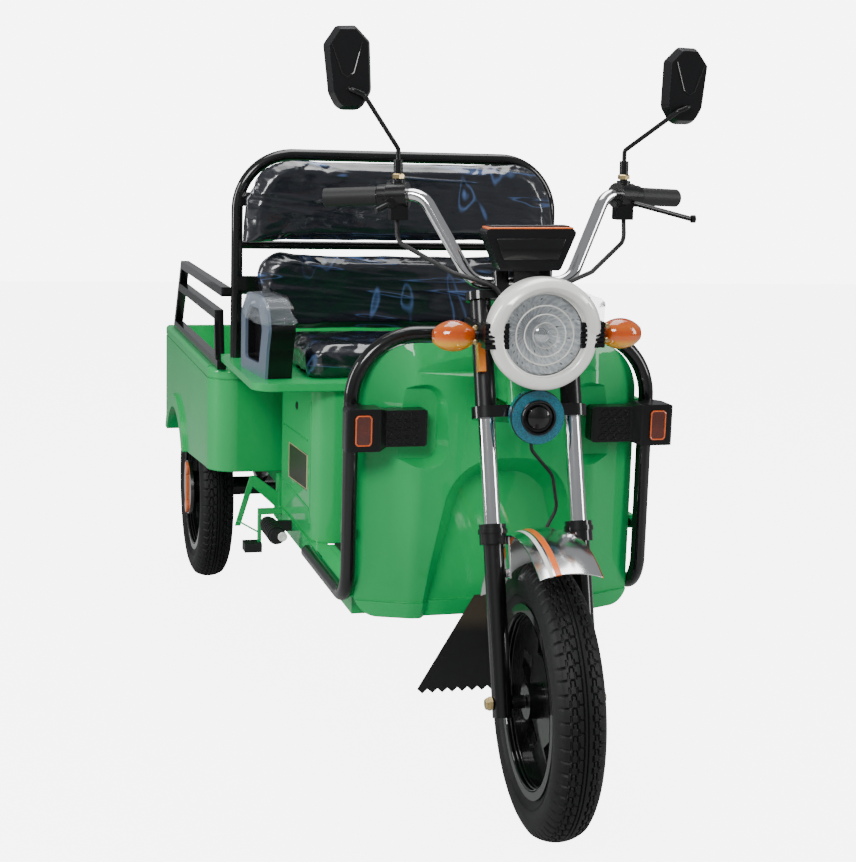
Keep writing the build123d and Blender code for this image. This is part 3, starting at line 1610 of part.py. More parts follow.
arch_front_y, arch_rear_y = wheelbase - arch_half_width, wheelbase + arch_half_width
arch_rise = arch_top_z - box_arch_foot_z
arch_radius = (arch_half_width ** 2 + arch_rise ** 2) / (2 * arch_rise)
for name, side in sides:
    with BuildPart() as box_side:
        with BuildSketch(across(side * box_inner)):
            with BuildLine():
                Polyline(
                    (back(arch_front_y), box_arch_foot_z),
                    (back(box_side_front_y), box_bottom_z),
                    (back(box_side_front_y), box_top_z),
                    (back(box_rear_y), box_top_z),
                    (back(box_rear_y), box_arch_foot_z),
                    (back(arch_rear_y), box_arch_foot_z),
                )
                ThreePointArc((back(arch_rear_y), box_arch_foot_z), (back(wheelbase), arch_top_z),
                              (back(arch_front_y), box_arch_foot_z))
            make_face()
        extrude(amount=side * box_wall)
        fillet(box_side.faces().sort_by(Axis.Z)[-1].edges().filter_by(Axis.Y), radius=top_edge_round)
        groove_x = outward(side, box_half_width - bead_groove_depth, box_half_width + cut_overrun)
        add(block(groove_x, (box_side_front_y, box_rear_y), (bead_z, bead_z + bead_groove_height)),
            mode=Mode.SUBTRACT)
        with BuildSketch(across(side * (box_half_width - bead_groove_depth))):
            with Locations((back(wheelbase), arch_top_z - arch_radius)):
                Circle(arch_radius + arch_flare_width)
                Circle(arch_radius, mode=Mode.SUBTRACT)
            with Locations((back(wheelbase), box_arch_foot_z - arch_radius)):
                Rectangle(4 * arch_radius, 2 * arch_radius, mode=Mode.SUBTRACT)
        extrude(amount=side * (arch_flare_height + bead_groove_depth))
    keep(box_side.part, f"box_side_{name}")

floor_front_y = box_front_y + box_wall
floor_rear_y = box_rear_y - tailgate_thickness - 2 * tailgate_gap
housing_front_y = wheelbase - tyre_radius - wheel_housing_end_gap
wheel_housing_top = tyre_radius + wheel_housing_gap + wheel_housing_wall
wheel_housing_inner_x = half_track - tyre_width / 2 - wheel_housing_side_gap
with BuildPart() as box_floor:
    with BuildSketch(level(floor_z - floor_thickness)) as floor_sketch:
        with Locations((0, back((floor_front_y + floor_rear_y) / 2))):
            Rectangle(2 * box_inner, floor_rear_y - floor_front_y)
        fillet(floor_sketch.vertices().group_by(Axis.Y)[0], radius=box_corner - box_wall + sleeve_clearance)
    extrude(amount=floor_thickness)
    for side in (-1, 1):
        add(block(outward(side, wheel_housing_inner_x, box_inner), (housing_front_y, floor_rear_y),
                  (floor_z - floor_thickness, wheel_housing_top)))
    for side in (-1, 1):
        hollow_span = outward(side, wheel_housing_inner_x + wheel_housing_wall, box_inner + cut_overrun)
        add(block(hollow_span, (housing_front_y + wheel_housing_wall, floor_rear_y - wheel_housing_wall),
                  (floor_z - floor_thickness - cut_overrun, wheel_housing_top - wheel_housing_wall)),
            mode=Mode.SUBTRACT)
keep(box_floor.part, "box_floor")

gate_half = box_inner - tailgate_gap
gate_bottom = floor_z + tailgate_gap
hinge_y, hinge_z = box_rear_y - hinge_knuckle_radius, rear_rail_top + hinge_rise
knuckle_gap = hinge_knuckle_length / 2 + hinge_side_gap


def hinge_bar(side, low, high, radius):
    """A round bar on the tailgate's hinge line, between two places measured from the hinge's middle."""
    middle = side * rear_rail_x
    return rod(place(middle + low, hinge_y, hinge_z), place(middle + high, hinge_y, hinge_z), radius)


with BuildPart() as tailgate:
    add(block((-gate_half, gate_half), (box_rear_y - tailgate_thickness, box_rear_y),
              (gate_bottom, box_top_z)))
    for side in (-1, 1):
        for low, high in ((-knuckle_gap - hinge_knuckle_length, -knuckle_gap),
                          (knuckle_gap, knuckle_gap + hinge_knuckle_length)):
            add(hinge_bar(side, low, high, hinge_knuckle_radius))
            add(block((side * rear_rail_x + low, side * rear_rail_x + high),
                      (hinge_y, hinge_y + hinge_knuckle_radius), (hinge_z, gate_bottom)))
        add(hinge_bar(side, -2 * hinge_knuckle_length, 2 * hinge_knuckle_length,
                      hinge_pin_radius + running_clearance), mode=Mode.SUBTRACT)
keep(tailgate.part, "tailgate")

with BuildPart() as tailgate_hinges:
    for side in (-1, 1):
        add(hinge_bar(side, -hinge_knuckle_length / 2, hinge_knuckle_length / 2, hinge_knuckle_radius))
        strap_half = hinge_knuckle_length / 2
        add(block(outward(side, rear_rail_x - strap_half, rear_rail_x + strap_half),
                  (rear_rail_rear_y, hinge_y), (rear_rail_top - hinge_strap_thickness, rear_rail_top)))
        pin_reach = knuckle_gap + hinge_knuckle_length
        add(hinge_bar(side, -pin_reach, pin_reach, hinge_pin_radius))
keep(tailgate_hinges.part, "tailgate_hinges")

tail_lamp_top = rear_rail_top - tail_lamp_gap
with BuildPart() as tail_lamps:
    for side in (-1, 1):
        lamp_span = outward(side, tail_lamp_x - tail_lamp_width / 2, tail_lamp_x + tail_lamp_width / 2)
        add(block(lamp_span, (box_rear_y - tail_lamp_depth, box_rear_y),
                  (tail_lamp_top - tail_lamp_height, tail_lamp_top)))
keep(tail_lamps.part, "tail_lamps")

# Side racks of rectangular tube
rack_half = rack_tube / 2
rack_x = backrest_half_width + rack_half + sleeve_clearance
rack_front_y = deck_rear_y + sleeve_clearance
rack_rear_y = box_rear_y - rack_rear_inset
rack_rear_top_y = rack_rear_y - rack_rear_lean
rack_post_y = rack_front_y + rack_post_gap
rack_rise = rack_top_z - box_top_z
rack_slant = rack_tube * math.hypot(rack_rear_lean, rack_rise) / rack_rise
rear_post_lean_share = rack_rear_lean / rack_rise
post_shift = rack_tube * rear_post_lean_share
with BuildPart() as side_racks:
    for side in (-1, 1):
        with BuildSketch(across(side * rack_x)):
            with BuildLine():
                Polyline(
                    (back(rack_front_y), box_top_z),
                    (back(rack_rear_y), box_top_z),
                    (back(rack_rear_top_y), rack_top_z),
                    (back(backrest_y), rack_top_z),
                    (back(backrest_y), rack_top_z - rack_tube),
                    (back(rack_front_y), rack_top_z - rack_tube),
                    close=True,
                )
            make_face()
            with BuildLine():
                Polyline(
                    (back(backrest_y), box_top_z + rack_tube),
                    (back(rack_rear_y - rack_slant - post_shift), box_top_z + rack_tube),
                    (back(rack_rear_top_y - rack_slant + post_shift), rack_top_z - rack_tube),
                    (back(backrest_y), rack_top_z - rack_tube),
                    close=True,
                )
            make_face(mode=Mode.SUBTRACT)
            rail_end_y = rack_rear_y - rack_slant / 2 - (rack_mid_z - box_top_z) * rear_post_lean_share
            with BuildLine():
                Polyline(
                    (back(rack_post_y), box_top_z + rack_half),
                    (back(rack_post_y + rack_tube), box_top_z + rack_half),
                    (back(rack_post_y + rack_bend), rack_mid_z - rack_tube),
                    (back(rail_end_y), rack_mid_z - rack_tube),
                    (back(rail_end_y), rack_mid_z),
                    (back(rack_post_y + rack_bend - rack_half), rack_mid_z),
                    close=True,
                )
            make_face()
        extrude(amount=rack_half, both=True)
keep(side_racks.part, "side_racks")

# Rear axle, motor and springs
with BuildPart() as rear_axle:
    add(cross_bar(rear_tube_half_length, wheelbase, 0, rear_tube_radius))
    add(cross_bar(rear_stub_half_length, wheelbase, 0, rear_stub_radius))
    add(cross_bar(motor_width / 2, wheelbase, 0, motor_radius), mode=Mode.SUBTRACT)
keep(rear_axle.part, "rear_axle")

with BuildPart() as drive_motor:
    add(cross_bar(motor_width / 2, wheelbase, 0, motor_radius))
keep(drive_motor.part, "drive_motor")

with BuildPart() as leaf_springs:
    for side in (-1, 1):
        with BuildSketch(across(side * (rear_rail_x - spring_width / 2))):
            with BuildLine():
                ThreePointArc(
                    (back(spring_front_y), saddle_top + spring_rise),
                    (back((spring_front_y + spring_rear_y) / 2), saddle_top + sleeve_clearance),
                    (back(spring_rear_y), saddle_top + spring_rise),
                )
                Line((back(spring_rear_y), saddle_top + spring_rise),
                     (back(spring_rear_y), saddle_top + spring_rise - spring_thickness))
                Line((back(spring_front_y), saddle_top + spring_rise),
                     (back(spring_front_y), saddle_top + spring_rise - spring_thickness))
                ThreePointArc(
                    (back(spring_front_y), saddle_top + spring_rise - spring_thickness),
                    (back((spring_front_y + spring_rear_y) / 2),
                     saddle_top + sleeve_clearance - spring_thickness),
                    (back(spring_rear_y), saddle_top + spring_rise - spring_thickness),
                )
            make_face()
        extrude(amount=spring_width)
    add(rear_axle.part, mode=Mode.SUBTRACT)
keep(leaf_springs.part, "leaf_springs")

# Foot pegs with their ribs, brake pedal
peg_bracket_y = peg_front_y + peg_length
peg_pitch = peg_length / (peg_rib_count + 1)
with BuildPart() as foot_pegs:
    for side in (-1, 1):
        peg_middle_x = side * (peg_x + peg_bracket_thickness)
        add(block(outward(side, rail_high, peg_x + peg_bracket_thickness),
                  (peg_bracket_y, peg_bracket_y + peg_bracket_thickness),
                  (peg_z - peg_radius, min(peg_z + peg_radius, side_rail_top))))
        add(rod(place(peg_middle_x, peg_front_y, peg_z),
                place(peg_middle_x, peg_bracket_y + peg_bracket_thickness, peg_z), peg_radius))
        for rib in range(1, peg_rib_count + 1):
            rib_y = peg_front_y + rib * peg_pitch
            add(rod(place(peg_middle_x, rib_y - peg_rib_width / 2, peg_z),
                    place(peg_middle_x, rib_y + peg_rib_width / 2, peg_z), peg_rib_radius))
keep(foot_pegs.part, "foot_pegs")

pad_low_z = pedal_top_z - pedal_arm_length
pedal_span = (pedal_y, pedal_y + pedal_arm_width)
with BuildPart() as brake_pedal:
    add(block((-pedal_x, -rail_high), pedal_span, (pedal_top_z - pedal_arm_width, side_rail_top)))
    add(block((-pedal_x - pedal_arm_width / 2, -pedal_x), pedal_span,
              (pad_low_z + pedal_pad_height, side_rail_top)))
    add(rod(
        place(-pedal_x - pedal_arm_width / 4, pedal_y + pedal_arm_width / 2, pad_low_z + 2 * pedal_pad_height),
        place(-strut_foot_x, strut_y - pedal_rod_radius, strut_foot_z + strut_width),
        pedal_rod_radius,
    ))
keep(brake_pedal.part, "brake_pedal")

with BuildPart() as pedal_pad:
    pad_middle_y = pedal_y + pedal_arm_width / 2
    add(block((-pedal_x - pedal_pad_length, -pedal_x),
              (pad_middle_y - pedal_pad_width / 2, pad_middle_y + pedal_pad_width / 2),
              (pad_low_z, pad_low_z + pedal_pad_height)))
keep(pedal_pad.part, "pedal_pad")
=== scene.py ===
"""Electric tricycle with a cargo box: materials, soft parts, trim, stage and camera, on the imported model."""

import json
import math

import bpy
from mathutils import Matrix, Vector, noise
from bpy.props import FloatProperty, FloatVectorProperty, PointerProperty


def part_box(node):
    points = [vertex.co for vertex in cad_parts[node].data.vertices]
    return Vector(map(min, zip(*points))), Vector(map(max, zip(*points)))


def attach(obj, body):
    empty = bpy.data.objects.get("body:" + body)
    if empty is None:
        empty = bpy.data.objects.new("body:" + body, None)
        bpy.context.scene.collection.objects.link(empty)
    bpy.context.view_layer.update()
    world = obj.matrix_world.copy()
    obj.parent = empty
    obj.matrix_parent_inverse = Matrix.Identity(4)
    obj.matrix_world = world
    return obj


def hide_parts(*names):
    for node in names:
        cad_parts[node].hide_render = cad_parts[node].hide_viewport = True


bl_info = {
    "name": "Electric tricycle dressing",
    "version": (1, 0, 0),
    "blender": (4, 5, 0),
    "location": "3D View > Sidebar > Tricycle",
    "description": "Gives the packed tricycle its paint, upholstery, lamps, trim and studio",
    "category": "Object",
}

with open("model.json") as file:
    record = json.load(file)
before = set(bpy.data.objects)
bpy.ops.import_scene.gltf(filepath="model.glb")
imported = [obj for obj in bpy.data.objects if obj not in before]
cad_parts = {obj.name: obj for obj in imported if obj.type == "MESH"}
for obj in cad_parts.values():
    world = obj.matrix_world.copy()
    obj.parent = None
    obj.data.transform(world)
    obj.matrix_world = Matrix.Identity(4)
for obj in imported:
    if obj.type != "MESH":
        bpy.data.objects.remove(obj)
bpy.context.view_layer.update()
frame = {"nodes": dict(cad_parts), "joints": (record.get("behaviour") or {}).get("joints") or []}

front_tyre_low, front_tyre_high = (Vector(corner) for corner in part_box("front_tyre"))
wheel_radius = (front_tyre_high.z - front_tyre_low.z) / 2
joints = {joint["name"]: joint for joint in frame["joints"]}
steering_point = Vector(joints["steering"]["pos_m"])
steering_line = Vector(joints["steering"]["axis"])
front_axle_y = joints["front_wheel"]["pos_m"][1]
parked_turn = math.radians(-3.4)
turned = (Matrix.Translation(steering_point) @ Matrix.Rotation(parked_turn, 4, steering_line)
          @ Matrix.Translation(-steering_point))

# Sizes in metres and angles in degrees. Heights count from the floor, and the steering is straight ahead.
smooth_angle = 35.0
lamp_height, lamp_mouth = 0.835, 0.0675
horn_height = 0.694
tyre_radius, tread_curve, tread_edge, tread_pitch = 0.231, 0.0579, 0.2, 0.022
crown_steps, crown_step, tyre_sides = 20, 0.00155, 560
cushion_cap, cushion_voxel, cushion_gap = 0.014, 0.0055, 0.0004
cushion_pressure, cushion_frames = 4, 20
film_out, film_half_width, film_front = 0.3385, 0.031, 0.742
seat_box_side, peg_bolt_out, axle_nut_out = 0.2498, 0.296, 0.0935
camera_place, camera_angles = (-0.9287, -2.5489, 1.1645), (15.56, -10.15, 1.65)
straight_ahead = (0, -1, 0)


def colour_property(name, words, value):
    """A colour that a user may change."""
    return FloatVectorProperty(name=name, description=words, default=value, size=3,
                               subtype="COLOR", min=0, max=1)


class TricycleColours(bpy.types.PropertyGroup):
    """Colours of the tricycle's finishes."""
    paint: colour_property("Body paint", "Green enamel of the body panels", (0.004, 0.385, 0.092))
    metal_black: colour_property("Black paint", "Gloss black of the tubes and rims", (0.0022, 0.0022, 0.0026))
    plastic_black: colour_property("Black plastic", "Moulded black covers", (0.0035, 0.0035, 0.0042))
    rubber: colour_property("Rubber", "Tyres, grips and mud flap", (0.0042, 0.0042, 0.0048))
    upholstery: colour_property("Upholstery", "Dark leathercloth of the seat", (0.0025, 0.0038, 0.0085))
    armrest: colour_property("Armrest", "Blue grey plastic of the armrest loops", (0.10, 0.135, 0.19))
    amber: colour_property("Amber", "Turn signal and marker lenses", (0.95, 0.22, 0.008))
    red: colour_property("Red", "Tail lamps", (0.55, 0.01, 0.008))
    teal: colour_property("Teal", "Ring of the horn", (0.003, 0.115, 0.17))
    chrome: colour_property("Chrome", "Handlebar, stanchions and fender", (0.82, 0.82, 0.83))
    silver: colour_property("Silver", "Shell of the headlamp", (0.93, 0.92, 0.88))
    brass: colour_property("Zinc yellow", "Plated nuts and bolts", (0.62, 0.47, 0.22))
    stripe: colour_property("Stripe", "Orange stripes and bars", (0.85, 0.16, 0.02))


class TricycleSizes(bpy.types.PropertyGroup):
    """The camera's lens and the size of the floor."""
    lens: FloatProperty(name="Lens", description="Focal length of the camera", default=70.9, min=10, max=300)
    floor_half: FloatProperty(name="Floor", description="Half the side of the floor", default=9, min=2,
                              max=60, unit="LENGTH")


def sizes():
    """The scene's size settings."""
    return bpy.context.scene.tricycle_sizes


def colours():
    """The scene's colour settings."""
    return bpy.context.scene.tricycle_colours


# Shader building
def group_start(name, inputs, outputs):
    """A new shader node group with its named sockets: the group, its inputs and its output node."""
    group = bpy.data.node_groups.new(name, "ShaderNodeTree")
    for socket_name, kind, value in inputs:
        socket = group.interface.new_socket(name=socket_name, in_out="INPUT", socket_type="NodeSocket" + kind)
        if value is not None:
            socket.default_value = value
    for socket_name, kind in outputs:
        group.interface.new_socket(name=socket_name, in_out="OUTPUT", socket_type="NodeSocket" + kind)
    return group, group.nodes.new("NodeGroupInput").outputs, group.nodes.new("NodeGroupOutput")


def feed(tree, node, values=None, links=None):
    """Sets a node's own values, and links the sockets that feed it."""
    for key, value in (values or {}).items():
        node.inputs[key].default_value = value
    for key, source in (links or {}).items():
        tree.links.new(source, node.inputs[key])


def add_node(tree, kind, settings=None, values=None, links=None):
    """A node with its settings, its own values, and the sockets that feed it."""
    node = tree.nodes.new(kind)
    for key, value in (settings or {}).items():
        setattr(node, key, value)
    feed(tree, node, values, links)
    return node


def reckoned(tree, operation, *terms):
    """The result of a math operation on terms, each a number or a socket."""
    node = add_node(tree, "ShaderNodeMath", {"operation": operation})
    for key, term in enumerate(terms):
        if isinstance(term, bpy.types.NodeSocket):
            tree.links.new(term, node.inputs[key])
        else:
            node.inputs[key].default_value = term
    return node.outputs["Value"]


def mixed_colour(tree, factor, first, second):
    """A colour between two others, each a fixed colour or a socket."""
    node = add_node(tree, "ShaderNodeMix", {"data_type": "RGBA"}, links={"Factor": factor})
    for key, colour in (("A", first), ("B", second)):
        if isinstance(colour, bpy.types.NodeSocket):
            tree.links.new(colour, node.inputs[key])
        else:
            node.inputs[key].default_value = (*colour, 1)
    return node.outputs["Result"]


def ranged(tree, value, low, high, start=0.0, end=1.0):
    """A value that goes from a start to an end between two places."""
    return add_node(tree, "ShaderNodeMapRange",
                    values={"From Min": low, "From Max": high, "To Min": start, "To Max": end},
                    links={"Value": value}).outputs["Result"]


def range_mask(tree, value, low, high, edge=0.0006):
    """A mask that is 1 where a value lies between two places."""
    return reckoned(tree, "MULTIPLY", ranged(tree, value, low - edge, low),
                    ranged(tree, value, high + edge, high))


def ramp(tree, source, stops):
    """A colour ramp fed by a value, with its stops as (place, grey or colour)."""
    node = add_node(tree, "ShaderNodeValToRGB", links={"Fac": source})
    elements = node.color_ramp.elements
    while len(elements) < len(stops):
        elements.new(0.5)
    for element, (place, shade) in zip(elements, stops):
        element.position = place
        element.color = (*shade, 1) if isinstance(shade, tuple) else (shade, shade, shade, 1)
    return node.outputs["Color"]


def bumped(tree, height, strength, distance, under=None):
    """The normal of a bump from a height, over another normal if there is one."""
    node = add_node(tree, "ShaderNodeBump", values={"Strength": strength, "Distance": distance},
                    links={"Height": height})
    if under is not None:
        tree.links.new(under, node.inputs["Normal"])
    return node.outputs["Normal"]


def part_of(tree, place, axis):
    """One coordinate of a place."""
    return add_node(tree, "ShaderNodeSeparateXYZ", links={"Vector": place}).outputs[axis]


def cells(tree, place, scale):
    """The distance to the middle of the nearest cell."""
    return add_node(tree, "ShaderNodeTexVoronoi", values={"Scale": scale},
                    links={"Vector": place}).outputs["Distance"]


# Effects that several materials share
def uneven_tone(name):
    """Soft uneven tone: takes two colours and a scale, and gives a colour between them."""
    group, start, end = group_start(name, (("Vector", "Vector", None), ("Scale", "Float", 6.0),
                                           ("Light", "Color", None), ("Dark", "Color", None)),
                                    (("Color", "Color"),))
    cloud = add_node(group, "ShaderNodeTexNoise", values={"Detail": 4, "Roughness": 0.55},
                     links={"Vector": start["Vector"], "Scale": start["Scale"]})
    mask = ramp(group, cloud.outputs["Fac"], [(0.3, 0.0), (0.7, 1.0)])
    feed(group, end, links={"Color": mixed_colour(group, mask, start["Dark"], start["Light"])})
    return group


def fine_skin(name):
    """Fine skin of a moulded or painted surface: takes a scale, and gives a height with a broad swell."""
    group, start, end = group_start(name, (("Vector", "Vector", None), ("Scale", "Float", 900.0)),
                                    (("Height", "Float"),))
    fine = add_node(group, "ShaderNodeTexNoise", values={"Detail": 3},
                    links={"Vector": start["Vector"], "Scale": start["Scale"]})
    swell = add_node(group, "ShaderNodeTexNoise", values={"Detail": 2, "Scale": 60.0},
                     links={"Vector": start["Vector"]})
    height = add_node(group, "ShaderNodeMix", values={"Factor": 0.3},
                      links={"A": fine.outputs["Fac"], "B": swell.outputs["Fac"]})
    feed(group, end, links={"Height": height.outputs["Result"]})
    return group


def film_creases(name):
    """Wrinkles of clear film: gives a height, and a mask where a sharp fold catches the light."""
    group, start, end = group_start(name, (("Vector", "Vector", None), ("Scale", "Float", 5.0),
                                           ("Stretch", "Vector", (1.0, 1.0, 2.5))),
                                    (("Height", "Float"), ("Fold", "Float")))
    stretched = add_node(group, "ShaderNodeVectorMath", {"operation": "MULTIPLY"},
                         links={0: start["Vector"], 1: start["Stretch"]}).outputs["Vector"]
    bent = add_node(group, "ShaderNodeTexNoise", values={"Scale": 3.0, "Detail": 2},
                    links={"Vector": stretched})
    shift = add_node(group, "ShaderNodeVectorMath", {"operation": "MULTIPLY_ADD"}, {1: (0.35, 0.35, 0.35)},
                     {0: bent.outputs["Color"], 2: stretched})
    folds = add_node(group, "ShaderNodeTexNoise", {"noise_type": "RIDGED_MULTIFRACTAL"},
                     {"Detail": 4, "Roughness": 0.5, "Lacunarity": 2.1, "Gain": 2.0},
                     {"Vector": shift.outputs["Vector"], "Scale": start["Scale"]}).outputs["Fac"]
    feed(group, end, links={"Height": folds, "Fold": ramp(group, folds, [(0.50, 0.0), (0.62, 1.0)])})
    return group


def effect(tree, build, values, place):
    """An effect in a material, with its own values. Its node group is built the first time."""
    name = build.__name__.replace("_", " ")
    group = bpy.data.node_groups.get(name) or build(name)
    return add_node(tree, "ShaderNodeGroup", {"node_tree": group}, values, {"Vector": place})


def shader_start(name):
    """A new material, its nodes, its Principled shader, and the piece's own coordinates in metres."""
    material = bpy.data.materials.new(name)
    material.use_nodes = True
    tree = material.node_tree
    place = add_node(tree, "ShaderNodeTexCoord").outputs["Object"]
    return material, tree, tree.nodes["Principled BSDF"], place


def add_skin(tree, shader, place, scale, depth, strength=0.5, edge=0.0):
    """Gives a shader the fine skin as its bump, over edges that look rounded."""
    rounded = None
    if edge:
        rounded = add_node(tree, "ShaderNodeBevel", {"samples": 4}, {"Radius": edge}).outputs["Normal"]
    skin = effect(tree, fine_skin, {"Scale": scale}, place).outputs["Height"]
    feed(tree, shader, links={"Normal": bumped(tree, skin, strength, depth, rounded)})


def chosen(colour):
    """A fixed colour as it is, or a colour setting by its name."""
    return getattr(colours(), colour) if isinstance(colour, str) else colour


def add_tone(tree, shader, place, colour, spread, scale):
    """Gives a shader a colour that is slightly uneven, and returns it."""
    light, dark = (tuple(min(1, part * share) for part in chosen(colour))
                   for share in (1 + spread, 1 - spread))
    tone = effect(tree, uneven_tone, {"Scale": scale, "Light": (*light, 1), "Dark": (*dark, 1)}, place)
    feed(tree, shader, links={"Base Color": tone.outputs["Color"]})
    return tone.outputs["Color"]


# Finishes
def plain_finish(name, colour, roughness, spread=0.1, scale=8.0, metallic=0.0, coat=0.0, coat_roughness=0.05,
                 skin_scale=700.0, skin_depth=0.00005, strength=0.4, edge=0.0, gloss=0.5):
    """A finish with an uneven tone and a fine skin."""
    material, tree, shader, place = shader_start(name)
    add_tone(tree, shader, place, colour, spread, scale)
    feed(tree, shader, {"Roughness": roughness, "Metallic": metallic, "Specular IOR Level": gloss,
                        "Coat Weight": coat, "Coat Roughness": coat_roughness})
    add_skin(tree, shader, place, skin_scale, skin_depth, strength, edge)
    return material


plain_finishes = {
    "enamel": dict(name="green enamel", colour="paint", roughness=0.5, spread=0.07, scale=2.5, coat=0.55,
        coat_roughness=0.03, skin_scale=160.0, skin_depth=0.0001, strength=0.2, edge=0.004, gloss=0.2),
    "gloss_black": dict(name="gloss black paint", colour="metal_black", roughness=0.4, spread=0.15,
        scale=9.0, coat=0.8, skin_scale=240.0, skin_depth=0.00008, strength=0.25, edge=0.0015, gloss=0.15),
    "moulded_black": dict(name="moulded black plastic", colour="plastic_black", roughness=0.36, spread=0.18,
        scale=14.0, coat=0.25, skin_scale=1500.0, skin_depth=0.00008, edge=0.002, gloss=0.25),
    "tyre": dict(name="tyre rubber", colour="rubber", roughness=0.55, spread=0.3, scale=22.0,
        skin_scale=1100.0, skin_depth=0.00015, strength=0.6, gloss=0.28),
    "rubber": dict(name="soft rubber", colour="rubber", roughness=0.55, spread=0.2, scale=30.0,
        skin_scale=900.0, skin_depth=0.0001, strength=0.5),
    "chrome": dict(name="chrome plate", colour="chrome", roughness=0.09, spread=0.03, scale=20.0,
        metallic=1.0, skin_scale=500.0, skin_depth=0.00002, strength=0.2),
    "silver": dict(name="silver lacquer", colour="silver", roughness=0.3, spread=0.05, scale=12.0,
        metallic=0.12, coat=0.9, skin_scale=1800.0, skin_depth=0.00003, strength=0.3),
    "zinc": dict(name="yellow zinc", colour="brass", roughness=0.3, spread=0.15, scale=120.0, metallic=1.0,
        skin_scale=1400.0, skin_depth=0.00004),
    "teal": dict(name="teal plastic", colour="teal", roughness=0.16, spread=0.55, scale=420.0, coat=1.0,
        skin_scale=350.0, skin_depth=0.0005, strength=0.6),
    "armrest": dict(name="armrest plastic", colour="armrest", roughness=0.28, spread=0.08, scale=10.0,
        coat=0.4),
    "orange": dict(name="orange trim", colour="stripe", roughness=0.3, spread=0.08, scale=30.0, coat=0.5),
    "mirror": dict(name="mirror glass", colour=(0.85, 0.87, 0.9), roughness=0.03, spread=0.01, scale=5.0,
        metallic=1.0, strength=0.05),
    "rim_orange": dict(name="marker frame", colour=(0.75, 0.12, 0.02), roughness=0.25, scale=60.0,
        coat=0.6),
    "blank_plate": dict(name="blank plate", colour=(0.020, 0.012, 0.009), roughness=0.4, spread=0.15,
        scale=20.0),
    "plate_edge": dict(name="plate edge", colour=(0.55, 0.42, 0.25), roughness=0.4, scale=20.0),
}


def tinted_lens(name, colour):
    """A tinted plastic lens that lets a little light through."""
    material, tree, shader, place = shader_start(name)
    add_tone(tree, shader, place, colour, 0.25, 40.0)
    feed(tree, shader, {"Roughness": 0.12, "Coat Weight": 1.0, "Transmission Weight": 0.15})
    add_skin(tree, shader, place, 260.0, 0.0003)
    return material


tinted_lenses = {"amber": ("amber lens", "amber"), "red": ("red lens", "red"),
                 "marker": ("marker lens", (0.10, 0.012, 0.004))}


def leathercloth():
    """Dark leathercloth under clear film, with small crumples in patches and long slanted folds, whose ridges
    carry a painted pale blue highlight.
    """
    material, tree, shader, place = shader_start("leathercloth under film")
    creases = effect(tree, film_creases, {"Scale": 11.0, "Stretch": (1.5, 1.0, 0.6)},
                     place).outputs["Height"]
    slanted = add_node(tree, "ShaderNodeMapping", {"vector_type": "POINT"},
                       {"Rotation": (0.0, math.radians(-24), 0.0), "Scale": (0.6, 1.0, 2.8)},
                       {"Vector": place})
    folds = effect(tree, film_creases, {"Scale": 7.0}, slanted.outputs["Vector"]).outputs["Height"]
    patches = add_node(tree, "ShaderNodeTexNoise", values={"Scale": 5.0, "Detail": 2},
                       links={"Vector": place})
    crumpled = ramp(tree, patches.outputs["Fac"], [(0.44, 0.0), (0.56, 1.0)])
    # Painted highlight: the ridges of the crumples and of the slanted folds turn pale blue where the film
    # would catch the light.
    ridge_highlights = ramp(tree, creases, [(0.18, 0.0), (0.23, 0.7), (0.28, 0.0),
                                  (0.35, 0.0), (0.43, 1.0), (0.60, 0.3)])
    runs = ramp(tree, folds, [(0.21, 0.0), (0.25, 0.6), (0.29, 0.0),
                              (0.38, 0.0), (0.46, 1.0), (0.62, 0.3)])
    pale = reckoned(tree, "MAXIMUM", reckoned(tree, "MULTIPLY", ridge_highlights, crumpled), runs)
    skin = effect(tree, fine_skin, {"Scale": 700.0}, place).outputs["Height"]
    heights = reckoned(tree, "MULTIPLY_ADD", creases, 0.45, folds)
    # The pale blue mixed in here is the painted highlight on the film's ridges and folds.
    feed(tree, shader, {"Roughness": 0.3, "Coat Weight": 1.0, "Coat Roughness": 0.07},
         {"Base Color": mixed_colour(tree, pale, colours().upholstery, (0.065, 0.125, 0.29)),
          "Normal": bumped(tree, heights, 0.8, 0.010, bumped(tree, skin, 0.2, 0.0002))})
    return material


def clear_lens():
    """Clear glass."""
    material, tree, shader, place = shader_start("clear glass")
    feed(tree, shader, {"Base Color": (0.95, 0.97, 0.97, 1), "Roughness": 0.03, "Transmission Weight": 1.0,
                        "IOR": 1.3})
    add_skin(tree, shader, place, 300.0, 0.00008, strength=0.2)
    return material


def sideways(tree, place):
    """How far a point of the steered parts lies to the left of the wheel's middle."""
    left = (turned.to_3x3() @ Vector((1, 0, 0))).normalized()
    middle = turned @ Vector((0, front_axle_y, wheel_radius))
    along = add_node(tree, "ShaderNodeVectorMath", {"operation": "DOT_PRODUCT"}, {1: left}, {0: place})
    return reckoned(tree, "SUBTRACT", along.outputs["Value"], middle.dot(left))


def striped_chrome():
    """The fender's chrome with an orange and a white stripe, and a thin line at the other edge."""
    material, tree, shader, place = shader_start("striped chrome")
    base = add_tone(tree, shader, place, "chrome", 0.03, 20.0)
    across = sideways(tree, place)
    masks = []
    for low, high, colour in ((-0.0275, -0.0185, "stripe"), (-0.0365, -0.0310, (0.85, 0.85, 0.82)),
                              (0.050, 0.053, "stripe")):
        masks.append(range_mask(tree, across, low, high))
        base = mixed_colour(tree, masks[-1], base, chosen(colour))
    wide = reckoned(tree, "ADD", masks[0], masks[1])
    feed(tree, shader, {"Roughness": 0.17},
         {"Base Color": base, "Metallic": reckoned(tree, "SUBTRACT", 1.0, wide)})
    add_skin(tree, shader, place, 500.0, 0.00002, strength=0.2, edge=0.001)
    return material


